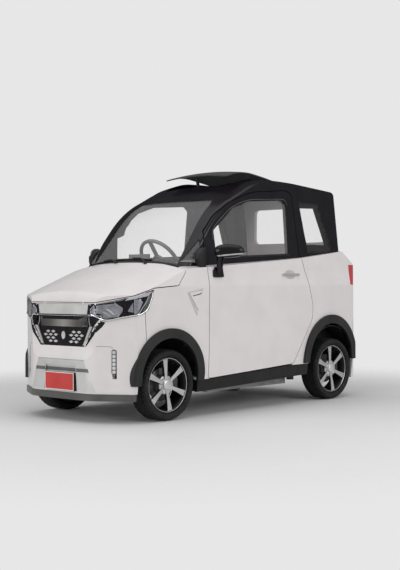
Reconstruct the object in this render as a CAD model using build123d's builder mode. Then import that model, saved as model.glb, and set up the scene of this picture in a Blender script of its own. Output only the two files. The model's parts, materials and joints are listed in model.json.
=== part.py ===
from build123d import *
import math
import os

os.makedirs("parts", exist_ok=True)

# Small three-seat electric city car, in millimetres. The front is -Y, the car's left side is +X,
# and the wheels stand on z = 0. Side outlines are lists of (y, z), front outlines of (x, z).

# Wheels and track
wheelbase = 1850
front_axle_y = -880
rear_axle_y = front_axle_y + wheelbase
tyre_radius = 240
tyre_width = 155
rim_radius = 182
rim_lip = 172
wheel_x = 510

# Body envelope
ground_clearance = 150
nose_half_width = 300
nose_y = -1344
tail_y = 1354
fascia_y = -1318
fascia_step_z = 475
body_half_width = 614
side_crease_z = 905
side_crease_x = 607
hood_nose_z = 862
cowl_y = -700
cowl_z = 1090
belt_rear_y = 1140
belt_rear_z = 1230
lower_crown_z = -1500
side_bend = 26000
bend_angle = 7
crown_angle = 48

# Greenhouse envelope
roof_top_z = 1744
roof_top_y = 500
roof_front = (164, 1738)
screen_bend = (-322, 1512)
screen_foot = (-960, 738)
roof_tail = (1300, 1684)
roof_crown_z = -800
tumblehome = 5
greenhouse_base_z = 980
rail_round = 38

# Wall thicknesses and gaps
skin = 22
door_depth = 80
pillar_depth = 34
glass_depth = 5
glass_inset = 6
seam = 6
door_step = 8
fit = 0.3

# Doors, hood, tailgate and sunroof
door_front_y = -495
door_outline = [
    (door_front_y, 262), (door_front_y, 1027), (-455, 1285), (-344, 1409), (-186, 1507), (59, 1593),
    (460, 1627), (525, 1600), (570, 1120), (690, 750), (688, 650), (450, 312),
]
door_radii = [20, 200, 60, 400, 600, 600, 60, 30, 300, 150, 100, 40]
door_glass = [
    (-352, 1105), (-366, 1300), (-150, 1470), (30, 1527), (405, 1551), (452, 1515), (442, 1136),
]
quarter_glass = [(684, 1168), (614, 1543), (850, 1538), (990, 1196), (976, 1168)]
quarter_corner = 18
corner_glass = [(-640, 1074), (-498, 1236), (-515, 1062)]
hood_edge = [(-1500, 744), (-1030, 896), (-800, 912), (-722, 1000), (-700, 1200), (-1500, 1200)]
hood_arc_y = -745
hood_arc_radius = 2100
hood_stop_x = 200
hood_stop_z = 770
hood_stop_radius = 8
tailgate_half_width = 455
tailgate_low_z = 640
tailgate_front_y = 1035
tailgate_stop_x = 280
rear_glass = (380, 1255, 1545)
sunroof_half = 330
sunroof_y = (-6, 560)
sunroof_depth = 8
sunroof_rear_gap = 8
sunroof_corner = 40
sunroof_tilt = 9
sunroof_hinge = (548, 1727)
sunroof_pin_radius = 4

# Arches: outline centre and radii in side view
front_arch = (-875, 299, 258, 324)
rear_arch = (936, 313, 290, 357)
arch_stand = 18
steer_room = 18
well_radius = 306
well_wall = 8
well_z = tyre_radius + 30
well_foot_z = 280
front_well_x = 296
rear_well_x = 400

# Steering and suspension
kingpin_low = (440, 185)
kingpin_high = (352, 640)
steer_arm = 105
wheel_centre_z = tyre_radius
steering_wheel_centre = (-385, 1095)
steering_wheel_radius = 172
steering_wheel_tilt = 35


def side_prism(outline, x_low, x_high, radius=0):
    """Closed (y, z) outline swept from x_low to x_high."""
    with BuildPart() as prism:
        with BuildSketch(Plane.YZ.offset(x_low)):
            with BuildLine():
                FilletPolyline(*outline, radius=radius, close=True)
            make_face()
        extrude(amount=x_high - x_low)
    return prism.part


def front_prism(outline, y_low, y_high, radius=0):
    """Closed (x, z) outline swept from y_low to y_high."""
    with BuildPart() as prism:
        with BuildSketch(Plane.XZ.offset(-y_high)):
            with BuildLine():
                FilletPolyline(*outline, radius=radius, close=True)
            make_face()
        extrude(amount=y_high - y_low)
    return prism.part


def plan_prism(outline, z_low, z_high, radius=0):
    """Closed (x, y) outline swept from z_low to z_high."""
    with BuildPart() as prism:
        with BuildSketch(Plane.XY.offset(z_low)):
            with BuildLine():
                FilletPolyline(*outline, radius=radius, close=True)
            make_face()
        extrude(amount=z_high - z_low)
    return prism.part


def block(x_low, x_high, y_low, y_high, z_low, z_high):
    """Plain rectangular block between two corners."""
    return plan_prism([(x_low, y_low), (x_high, y_low), (x_high, y_high), (x_low, y_high)], z_low, z_high)


def grow(outline, amount):
    """The same outline with every side moved out by amount, or in by a negative amount."""
    turning = sum(x0 * y1 - x1 * y0 for (x0, y0), (x1, y1) in zip(outline, outline[1:] + outline[:1]))
    step = amount if turning > 0 else -amount
    moved = []
    for index, (x, y) in enumerate(outline):
        x_before, y_before = outline[index - 1]
        x_after, y_after = outline[(index + 1) % len(outline)]
        before = math.atan2(y - y_before, x - x_before)
        after = math.atan2(y_after - y, x_after - x)
        half_turn = math.remainder(after - before, 2 * math.pi) / 2
        reach_out = step / math.cos(half_turn)
        outward = before + half_turn - math.pi / 2
        moved.append((x + reach_out * math.cos(outward), y + reach_out * math.sin(outward)))
    return moved


def inset_radii(outline, radii, inset):
    """Corner radii of an outline moved in by inset: smaller at outer corners, larger at inner ones."""
    turning = sum(x0 * y1 - x1 * y0 for (x0, y0), (x1, y1) in zip(outline, outline[1:] + outline[:1]))
    changed = []
    for index, radius in enumerate(radii):
        x, y = outline[index]
        x_before, y_before = outline[index - 1]
        x_after, y_after = outline[(index + 1) % len(outline)]
        cross = (x - x_before) * (y_after - y) - (y - y_before) * (x_after - x)
        outer_corner = cross * turning > 0
        changed.append(max(radius + (-inset if outer_corner else inset), 4) if radius else 0)
    return changed


def disc(y, z, radius, x_low, x_high):
    """Cylinder along X."""
    with BuildPart() as cylinder:
        with BuildSketch(Plane.YZ.offset(x_low)):
            with Locations((y, z)):
                Circle(radius)
        extrude(amount=x_high - x_low)
    return cylinder.part


def crowned(profile, radii, inset, crown_z):
    """Side profile, moved in by inset, turned about an axis along Y at crown_z to crown it across."""
    tilt = math.radians(crown_angle / 2)
    with BuildPart() as crown:
        with BuildSketch(Plane((0, 0, crown_z), x_dir=(0, 1, 0), z_dir=(math.cos(tilt), 0, math.sin(tilt)))):
            with BuildLine():
                FilletPolyline(
                    *[(y, z - crown_z) for y, z in grow(profile, -inset)],
                    radius=inset_radii(profile, radii, inset), close=True,
                )
            make_face()
        revolve(axis=Axis((0, 0, crown_z), (0, 1, 0)), revolution_arc=crown_angle)
    return crown.part


def lower_body(inset):
    """Body below the windows: crowned profile, plan outline and bent side sections, all moved in by inset."""
    profile = [
        (nose_y + 2, -100), (nose_y + 2, fascia_step_z - 45), (fascia_y, fascia_step_z + 45),
        (fascia_y, hood_nose_z), (cowl_y, cowl_z), (565, 1174), (belt_rear_y, belt_rear_z),
        (1312, 1112), (tail_y, 960), (tail_y, -100),
    ]
    crown = crowned(profile, [0, 300, 300, 75, 150, 400, 60, 120, 40, 0], inset, lower_crown_z)
    with BuildPart() as hull:
        add(crown)
        with BuildSketch(Plane.XY.offset(ground_clearance)) as plan:
            with BuildLine():
                nose = (nose_half_width, nose_y + 8)
                cheek = (600, nose_y + 186)
                front_side = (body_half_width, -950)
                rear_side = (body_half_width, 900)
                tail = (586, tail_y - 17)
                for side in (1, -1):
                    Polyline(*[(side * x, y) for x, y in (nose, cheek, front_side, rear_side, tail)])
                ThreePointArc((-nose[0], nose[1]), (0, nose_y), nose)
                ThreePointArc((-tail[0], tail[1]), (0, tail_y), tail)
            make_face()
            for (x, y), radius in ((nose, 220), (cheek, 110), (tail, 170)):
                fillet([v for v in plan.vertices() if abs(v.Y - y) < 1], radius)
            offset(amount=-inset)
        extrude(amount=1200, mode=Mode.INTERSECT)
        for heading in (0, 180):
            start = math.radians(heading - bend_angle / 2)
            pivot = (-side_bend * math.cos(math.radians(heading)), 0, 0)
            across = (math.cos(start), math.sin(start), 0)
            facing = (math.sin(start), -math.cos(start), 0)
            section = [
                (-700, 60), (566, 60), (592, 300), (600, 430), (side_crease_x, side_crease_z),
                (590, 1010), (566, 1300), (-700, 1300),
            ]
            with BuildSketch(Plane(origin=pivot, x_dir=across, z_dir=facing)):
                with BuildLine():
                    FilletPolyline(
                        *[(side_bend + x - (inset if x > 0 else 0), z) for x, z in section],
                        radius=[0, 0, 150, 200, 90, 150, 0, 0], close=True,
                    )
                make_face()
            revolve(axis=Axis(pivot, (0, 0, 1)), revolution_arc=bend_angle, mode=Mode.INTERSECT)
    return hull.part


greenhouse_profile = [
    screen_foot, screen_bend, roof_front, (roof_top_y, roof_top_z), roof_tail, (roof_tail[0], screen_foot[1]),
]
greenhouse_radii = [0, 780, 600, 2500, 0, 0]


def greenhouse(inset, rail=rail_round, drop=0):
    """Body above the belt: tapered plan outline under a crowned windscreen-and-roof profile.

    Its base lies at greenhouse_base_z, or lower by drop."""
    crown = crowned(greenhouse_profile, greenhouse_radii, inset, roof_crown_z)
    with BuildPart() as hull:
        add(crown)
        with BuildSketch(Plane.XY.offset(greenhouse_base_z - drop)) as plan:
            with BuildLine():
                side_front = (515, -850)
                side_rear = (556, 1185)
                rear = (400, 1200)
                for side in (1, -1):
                    sides = [side_front, (564, 100), side_rear]
                    ThreePointArc(*[(side * x, y) for x, y in sides])
                    Line((side * side_rear[0], side_rear[1]), (side * rear[0], rear[1]))
                ThreePointArc((-rear[0], rear[1]), (0, rear[1] + 15), rear)
                Line((-side_front[0], side_front[1]), side_front)
            make_face()
            fillet([v for v in plan.vertices() if abs(v.Y - side_rear[1]) < 1], 130)
            offset(amount=drop * math.tan(math.radians(tumblehome)) - inset)
        extrude(amount=820 + drop, taper=tumblehome, mode=Mode.INTERSECT)
        rails = [e for e in hull.edges() if abs((e @ 0.5).X) > 330 and abs((e @ 0).Y - (e @ 1).Y) > 20
                 and min((e @ 0).Z, (e @ 1).Z) > 1200]
        fillet(rails, rail)
    return hull.part


# Envelopes that the panels are cut from
lower_outer = lower_body(0)
lower_layer = lower_body(12)
lower_skin = lower_body(skin)
lower_wall = lower_body(door_depth)
upper_outer = greenhouse(0)
upper_layer = greenhouse(12, rail_round - 8)
upper_inner = greenhouse(pillar_depth, rail_round - 20)
glass_outer = greenhouse(glass_inset, rail_round - 5)
glass_inner = greenhouse(glass_inset + glass_depth, rail_round - 8)

reach = 900
door_hole = side_prism(grow(door_outline, seam), -reach, reach, inset_radii(door_outline, door_radii, -seam))
door_solid = side_prism(door_outline, -reach, reach, door_radii)
door_core = side_prism(
    grow(door_outline, -door_step), -reach, reach, inset_radii(door_outline, door_radii, door_step),
)
hood_side = side_prism(hood_edge, -reach, reach)
hood_side_gap = side_prism(grow(hood_edge, seam), -reach, reach)


def behind_hood(gap):
    """Everything behind the bowed rear edge of the hood, moved back by gap."""
    with BuildPart() as prism:
        with BuildSketch(Plane.XY.offset(700)):
            with Locations((0, hood_arc_y + hood_arc_radius)):
                Circle(hood_arc_radius - gap)
        extrude(amount=700)
    return prism.part


def arch_opening(arch, radius):
    """Round arch opening through both sides, straight below its centre."""
    y, z, _, _ = arch
    with BuildPart() as opening:
        add(disc(y, z, radius, -reach, reach))
        add(block(-reach, reach, y - radius, y + radius, 90, z))
    return opening.part


front_cut = arch_opening(front_arch, front_arch[2])
bumper_cut = arch_opening(front_arch, front_arch[2] + steer_room)
rear_cut = arch_opening(rear_arch, rear_arch[2])


def well_drum(axle_y, side, inner_x, radius):
    """Solid drum of one wheel house from inner_x outwards."""
    low, high = sorted((side * inner_x, side * 700))
    return disc(axle_y, well_z, radius, low, high)


corners = {
    "front_left": (front_axle_y, 1, front_well_x),
    "front_right": (front_axle_y, -1, front_well_x),
    "rear_left": (rear_axle_y, 1, rear_well_x),
    "rear_right": (rear_axle_y, -1, rear_well_x),
}

with BuildPart() as well_void:
    for axle_y, side, inner_x in corners.values():
        add(well_drum(axle_y, side, inner_x - well_wall - fit, well_radius + well_wall + fit))
    add(lower_skin, mode=Mode.INTERSECT)

with BuildPart() as wheel_houses:
    for axle_y, side, inner_x in corners.values():
        add(well_drum(axle_y, side, inner_x - well_wall, well_radius + well_wall))
    for axle_y, side, inner_x in corners.values():
        add(well_drum(axle_y, side, inner_x, well_radius), mode=Mode.SUBTRACT)
    add(lower_skin, mode=Mode.INTERSECT)
    add(block(-reach, reach, -1500, 1500, 0, well_foot_z), mode=Mode.SUBTRACT)

# Hood: a clamshell that wraps over the shoulders, its rear edge bowed forward
with BuildPart() as hood:
    add(lower_outer)
    add(lower_skin, mode=Mode.SUBTRACT)
    add(hood_side, mode=Mode.INTERSECT)
    add(behind_hood(0), mode=Mode.SUBTRACT)

# Lamps
lamp_outline = [(-1500, 716), (-1240, 716), (-1112, 741), (-1032, 884), (-1500, 733)]
lamp_inner_x = 288
lamp_zone = side_prism(lamp_outline, -reach, reach)
lamp_zone_gap = side_prism(grow(lamp_outline, fit), -reach, reach)
between_lamps = block(-lamp_inner_x, lamp_inner_x, -1500, -1000, 600, 900)
daytime_strip = (430, 456, 298, 486)

with BuildPart() as headlamp_housings:
    add(lower_skin)
    add(lower_wall, mode=Mode.SUBTRACT)
    add(lamp_zone, mode=Mode.INTERSECT)
    add(between_lamps, mode=Mode.SUBTRACT)
    add(well_void.part, mode=Mode.SUBTRACT)

lens_inner = lower_body(4)
with BuildPart() as headlamp_lenses:
    add(lower_outer)
    add(lens_inner, mode=Mode.SUBTRACT)
    add(lamp_zone, mode=Mode.INTERSECT)
    add(between_lamps, mode=Mode.SUBTRACT)

with BuildPart() as strips:
    x_low, x_high, z_low, z_high = daytime_strip
    for side in (1, -1):
        add(block(*sorted((side * x_low, side * x_high)), -1500, -1100, z_low, z_high))

with BuildPart() as daytime_lamps:
    add(lower_outer)
    add(lower_skin, mode=Mode.SUBTRACT)
    add(strips.part, mode=Mode.INTERSECT)

# Front trim
band_zone = front_prism([(-288, 720), (288, 720), (288, 790), (-288, 790)], -1500, -1200)
grille_outline = [(-215, 504), (215, 504), (372, 710), (-372, 710)]
grille_zone = front_prism(grille_outline, -1500, -1150)
insert_outline = [(-334, 205), (334, 205), (234, 419), (-234, 419)]
insert_zone = front_prism(insert_outline, -1500, -1200)
plate_recess = front_prism([(-172, 205), (172, 205), (156, 372), (-156, 372)], -1500, -1200)
plate_size = (300, 120)
plate_z = 268
lip_top = 196

# Rubber stops that carry the closed hood
with BuildPart() as hood_stops:
    with BuildSketch(Plane.XY.offset(hood_stop_z)):
        with Locations((hood_stop_x, fascia_y + skin / 2), (-hood_stop_x, fascia_y + skin / 2)):
            Circle(hood_stop_radius)
    extrude(amount=100)
    add(side_prism(grow(hood_edge, fit), -reach, reach), mode=Mode.SUBTRACT)

with BuildPart() as grille_band:
    add(lower_outer)
    add(lower_skin, mode=Mode.SUBTRACT)
    add(band_zone, mode=Mode.INTERSECT)
    add(hood_stops.part)

# Grille: a set-back face with a raised bar across its top, rows of diamond cells and two slanted side bars
grille_face = lower_body(9)
grille_panel_zone = front_prism([(-208, 624), (208, 624), (254, 690), (-254, 690)], -1500, -1150)
with BuildPart() as grille:
    add(lens_inner)
    add(grille_panel_zone, mode=Mode.INTERSECT)
    add(grille_face)
    add(lower_skin, mode=Mode.SUBTRACT)
    add(grille_zone, mode=Mode.INTERSECT)

cell_width = 44
cell_height = 17
cell_pitch_x = 54
cell_pitch_z = 22
cell_rows = 4
cell_low_z = 534
bare_centre = 34
with BuildPart() as cell_shapes:
    with BuildSketch(Plane.XZ.offset(1200)):
        for row in range(cell_rows):
            row_z = cell_low_z + row * cell_pitch_z
            row_half = 196 + 0.45 * (row_z - cell_low_z)
            first = cell_pitch_x / 2 * (1 + row % 2)
            for column in range(5):
                cell_x = first + column * cell_pitch_x
                if bare_centre + cell_width / 2 < cell_x < row_half - cell_width / 2:
                    with Locations((cell_x, row_z), (-cell_x, row_z)):
                        Polygon((-cell_width / 2, 0), (-4, -cell_height / 2), (4, -cell_height / 2),
                                (cell_width / 2, 0), (4, cell_height / 2), (-4, cell_height / 2), align=None)
    extrude(amount=300)

with BuildPart() as grille_cells:
    add(lens_inner)
    add(grille_face, mode=Mode.SUBTRACT)
    add(cell_shapes.part, mode=Mode.INTERSECT)

with BuildPart() as bar_shapes:
    for side in (1, -1):
        add(front_prism([(side * x, z) for x, z in ((206, 512), (226, 520), (300, 640), (272, 640))][::side],
                        -1500, -1150))

with BuildPart() as grille_bars:
    add(lower_outer)
    add(grille_face, mode=Mode.SUBTRACT)
    add(bar_shapes.part, mode=Mode.INTERSECT)

with BuildPart() as recess_back:
    add(lower_layer)
    add(lower_skin, mode=Mode.SUBTRACT)
    add(plate_recess, mode=Mode.INTERSECT)

with BuildPart() as lower_insert:
    add(lower_outer)
    add(lower_skin, mode=Mode.SUBTRACT)
    add(insert_zone, mode=Mode.INTERSECT)
    add(plate_recess, mode=Mode.SUBTRACT)
    add(recess_back.part)

plate_back_y = nose_y + 2 + 12
with BuildPart() as number_plate:
    w, h = plate_size
    add(block(-w / 2, w / 2, plate_back_y - 24, plate_back_y - fit, plate_z - h / 2, plate_z + h / 2))

lip_hull = lower_body(-8)
with BuildPart() as bumper_lip:
    add(lip_hull)
    add(lower_skin, mode=Mode.SUBTRACT)
    add(block(-reach, reach, -1500, -1165, 140, lip_top), mode=Mode.INTERSECT)
    add(bumper_cut, mode=Mode.SUBTRACT)

bumper_seam = [
    (-1500, lip_top + fit), (-1088, lip_top + fit), (-1088, 500), (-1107, 752), (-1140, 900), (-1500, 900),
]
bumper_zone = side_prism(bumper_seam, -reach, reach)
with BuildPart() as front_bumper:
    add(lower_outer)
    add(lower_skin, mode=Mode.SUBTRACT)
    add(bumper_zone, mode=Mode.INTERSECT)
    add(hood_side_gap, mode=Mode.SUBTRACT)
    add(lamp_zone_gap, mode=Mode.SUBTRACT)
    add(band_zone, mode=Mode.SUBTRACT)
    add(grille_zone, mode=Mode.SUBTRACT)
    add(insert_zone, mode=Mode.SUBTRACT)
    add(strips.part, mode=Mode.SUBTRACT)
    add(hood_stops.part, mode=Mode.SUBTRACT)
    add(bumper_cut, mode=Mode.SUBTRACT)

# Front fenders with the door hinge posts behind the wheels
fender_line = [
    (-1082, 500), (-1101, 752), (-1140, 900), (-1140, 1300), (-480, 1300), (-480, 258), (-700, 258), (-875, 400),
]
fender_zone = side_prism(fender_line, -reach, reach)
cowl_zone = plan_prism([(-500, -900), (500, -900), (512, -601), (-512, -601)], 700, 1300)
post_zone = block(-reach, reach, -572, -480, 258, 1300)
with BuildPart() as posts:
    add(lower_outer)
    add(lower_wall, mode=Mode.SUBTRACT)
    add(post_zone, mode=Mode.INTERSECT)

with BuildPart() as front_fenders:
    add(lower_outer)
    add(lower_skin, mode=Mode.SUBTRACT)
    add(posts.part)
    add(fender_zone, mode=Mode.INTERSECT)
    add(hood_side_gap, mode=Mode.SUBTRACT)
    add(lamp_zone_gap, mode=Mode.SUBTRACT)
    add(cowl_zone, mode=Mode.SUBTRACT)
    add(upper_inner, mode=Mode.SUBTRACT)
    add(block(-440, 440, -900, -480, 900, 1300), mode=Mode.SUBTRACT)
    add(door_hole, mode=Mode.SUBTRACT)
    add(front_cut, mode=Mode.SUBTRACT)
    add(well_void.part, mode=Mode.SUBTRACT)

with BuildPart() as cowl:
    add(lower_outer)
    add(lower_skin, mode=Mode.SUBTRACT)
    add(cowl_zone, mode=Mode.INTERSECT)
    add(behind_hood(seam), mode=Mode.INTERSECT)
    add(block(-reach, reach, -900, -610, 900, 1300), mode=Mode.INTERSECT)

# Openings of the greenhouse
screen_zone = front_prism([(-464, 800), (464, 800), (398, 1490), (372, 1533), (-372, 1533), (-398, 1490)], -900, -150)
screen_glass_zone = front_prism(
    grow([(-464, 800), (464, 800), (398, 1490), (372, 1533), (-372, 1533), (-398, 1490)], -fit), -900, -150,
)
roof_zone = plan_prism(
    [(-sunroof_half, sunroof_y[0]), (sunroof_half, sunroof_y[0]), (sunroof_half, sunroof_y[1]),
     (-sunroof_half, sunroof_y[1])], 1500, 1900, sunroof_corner,
)
tail_zone = block(-tailgate_half_width - seam, tailgate_half_width + seam, tailgate_front_y - seam, 1500,
                  tailgate_low_z - seam, 1900)
quarter_zone = side_prism(quarter_glass, -reach, reach, quarter_corner)
corner_zone = side_prism(corner_glass, -reach, reach)

with BuildPart() as cabin_frame:
    add(upper_outer)
    add(upper_inner, mode=Mode.SUBTRACT)
    add(lower_outer, mode=Mode.SUBTRACT)
    add(door_hole, mode=Mode.SUBTRACT)
    add(screen_zone, mode=Mode.SUBTRACT)
    add(roof_zone, mode=Mode.SUBTRACT)
    add(tail_zone, mode=Mode.SUBTRACT)
    add(quarter_zone, mode=Mode.SUBTRACT)
    add(corner_zone, mode=Mode.SUBTRACT)
    # Pin and lug of the sunroof's rear hinge
    hinge_y, hinge_z = sunroof_hinge
    add(disc(hinge_y, hinge_z, sunroof_pin_radius, -30, 30))
    add(block(-12, 12, hinge_y, sunroof_y[1] + 6, hinge_z - sunroof_pin_radius - 2, hinge_z + 1))

with BuildPart() as glass_shell:
    add(glass_outer)
    add(glass_inner, mode=Mode.SUBTRACT)
    add(lower_outer, mode=Mode.SUBTRACT)

with BuildPart() as windshield:
    add(glass_shell.part)
    add(screen_glass_zone, mode=Mode.INTERSECT)

with BuildPart() as side_windows:
    add(side_prism(grow(quarter_glass, -fit), -reach, reach, quarter_corner))
    add(side_prism(grow(corner_glass, -fit), -reach, reach))

with BuildPart() as side_glass:
    add(glass_shell.part)
    add(side_windows.part, mode=Mode.INTERSECT)
    add(screen_zone, mode=Mode.SUBTRACT)

# Rear body
rear_bumper_zone = side_prism([(1262, 150), (1500, 150), (1500, 634), (1262, 634)], -reach, reach)
tail_lamp_zone = [(465, 905), (700, 905), (700, 1066), (465, 1066)]
with BuildPart() as lamp_boxes:
    for side in (1, -1):
        add(front_prism([(side * x, z) for x, z in tail_lamp_zone][::side], 1215, 1500))

lamp_back = lower_body(40)
with BuildPart() as tail_lamps:
    add(lower_outer)
    add(lamp_back, mode=Mode.SUBTRACT)
    add(lamp_boxes.part, mode=Mode.INTERSECT)

with BuildPart() as tail_lamp_void:
    add(lamp_boxes.part)
    add(lamp_back, mode=Mode.SUBTRACT)

quarter_line = [(440, 300), (440, 1400), (1500, 1400), (1500, 640), (1256, 640), (1256, 300)]
with BuildPart() as rear_quarters:
    add(lower_outer)
    add(lower_wall, mode=Mode.SUBTRACT)
    add(side_prism(quarter_line, -reach, reach), mode=Mode.INTERSECT)
    add(upper_inner, mode=Mode.SUBTRACT)
    add(door_hole, mode=Mode.SUBTRACT)
    add(tail_zone, mode=Mode.SUBTRACT)
    add(block(-450, 450, 400, 1100, 900, 1400), mode=Mode.SUBTRACT)
    add(rear_cut, mode=Mode.SUBTRACT)
    add(well_void.part, mode=Mode.SUBTRACT)
    add(tail_lamp_void.part, mode=Mode.SUBTRACT)

with BuildPart() as rear_bumper:
    add(lower_outer)
    add(lower_wall, mode=Mode.SUBTRACT)
    add(rear_bumper_zone, mode=Mode.INTERSECT)
    add(rear_cut, mode=Mode.SUBTRACT)
    add(well_void.part, mode=Mode.SUBTRACT)
    # Rubber stops that carry the closed tailgate
    with BuildSketch(Plane.XY.offset(tailgate_low_z - 20)):
        with Locations((tailgate_stop_x, tail_y - door_depth / 2), (-tailgate_stop_x, tail_y - door_depth / 2)):
            Circle(10)
    extrude(amount=20 - fit)

# Roof spoiler, part of the tailgate
spoiler_tip_y = 1222
with BuildPart() as spoiler:
    add(crowned(greenhouse_profile, greenhouse_radii, 0, roof_crown_z))
    add(plan_prism([(-tailgate_half_width, 1080), (tailgate_half_width, 1080), (tailgate_half_width, 1168),
                    (400, 1196), (200, 1216), (0, spoiler_tip_y), (-200, 1216), (-400, 1196),
                    (-tailgate_half_width, 1168)], 1500, 1900, [0, 0, 30, 30, 400, 800, 400, 30, 30]), mode=Mode.INTERSECT)
    add(side_prism([(1060, 1800), (1300, 1800), (1300, 1620), (1190, 1606), (1120, 1566), (1060, 1566)],
                   -reach, reach), mode=Mode.INTERSECT)

# Tailgate with its window
window_half, window_low, window_high = rear_glass
rear_window = [(-window_half, window_low), (window_half, window_low), (window_half - 25, window_high),
               (-window_half + 25, window_high)]
with BuildPart() as tailgate:
    add(lower_outer)
    add(upper_outer)
    add(spoiler.part)
    add(lower_wall, mode=Mode.SUBTRACT)
    add(upper_inner, mode=Mode.SUBTRACT)
    add(block(-tailgate_half_width, tailgate_half_width, tailgate_front_y, 1500, tailgate_low_z, 1900),
        mode=Mode.INTERSECT)
    add(front_prism(rear_window, 1050, 1400, 40), mode=Mode.SUBTRACT)

with BuildPart() as tailgate_glass:
    add(glass_shell.part)
    add(front_prism(grow(rear_window, -fit), 1050, 1400, 40), mode=Mode.INTERSECT)

# Sunroof pane: hinged at its rear edge and tilted open, with its latch handle below the front edge
pane_half = sunroof_half - seam
pane_front = sunroof_y[0] + seam
pane_rear = sunroof_y[1] - sunroof_rear_gap
with BuildPart() as sunroof_flat:
    add(upper_outer)
    add(greenhouse(sunroof_depth, rail_round - 4), mode=Mode.SUBTRACT)
    add(plan_prism([(-pane_half, pane_front), (pane_half, pane_front), (pane_half, pane_rear), (-pane_half, pane_rear)],
                   1500, 1900, sunroof_corner - seam), mode=Mode.INTERSECT)
with BuildPart() as sunroof_glass:
    add(sunroof_flat.part.rotate(Axis((0, *sunroof_hinge), (1, 0, 0)), -sunroof_tilt))

with BuildPart() as sunroof_latch:
    add(side_prism([(4, 1748), (18, 1752), (42, 1668), (42, 1650), (24, 1650), (24, 1668)], -9, 9))
    add(block(-42, 42, 26, 40, 1650, 1660))
    add(sunroof_glass.part, mode=Mode.SUBTRACT)

# Sills and arch trims
with BuildPart() as sills:
    add(lower_outer)
    add(lower_wall, mode=Mode.SUBTRACT)
    add(side_prism([(-600, 172), (640, 218), (640, 299.7), (440, 299.7), (430, 300), (-560, 253), (-600, 253)],
                   -reach, reach), mode=Mode.INTERSECT)
    add(door_hole, mode=Mode.SUBTRACT)
    add(block(-reach, reach, -650, -480, 257.7, 400), mode=Mode.SUBTRACT)
    add(front_cut, mode=Mode.SUBTRACT)
    add(rear_cut, mode=Mode.SUBTRACT)
    add(well_void.part, mode=Mode.SUBTRACT)

trim_outer = lower_body(-arch_stand)
trim_inner = lower_body(-fit)


def arch_ring(arch, foot_z):
    """Band round one pair of arches, ending at foot_z."""
    y, z, inner, outer = arch
    with BuildPart() as ring:
        add(disc(y, z, outer, -reach, reach))
        add(arch_opening(arch, inner), mode=Mode.SUBTRACT)
        add(block(-reach, reach, y - 500, y + 500, 0, foot_z), mode=Mode.SUBTRACT)
        add(block(-400, 400, y - 500, y + 500, 0, 900), mode=Mode.SUBTRACT)
    return ring.part


with BuildPart() as rings:
    add(arch_ring(front_arch, 250))
    add(arch_ring(rear_arch, 305))

with BuildPart() as arch_trims:
    add(trim_outer)
    add(trim_inner, mode=Mode.SUBTRACT)
    add(rings.part, mode=Mode.INTERSECT)

# Doors: each has an outer layer with a narrow seam and a core set back so that it swings clear
def door_part(outer, layer, inner, away, side):
    """Door-shaped piece of one side's shell, in two layers."""
    half = block(*sorted((side * 300, side * 900)), -900, 900, 100, 1800)
    with BuildPart() as face:
        add(outer)
        add(layer, mode=Mode.SUBTRACT)
        add(door_solid, mode=Mode.INTERSECT)
    with BuildPart() as leaf:
        add(layer)
        add(inner, mode=Mode.SUBTRACT)
        add(door_core, mode=Mode.INTERSECT)
        add(face.part)
        add(away, mode=Mode.SUBTRACT)
        add(half, mode=Mode.INTERSECT)
    return leaf.part


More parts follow.
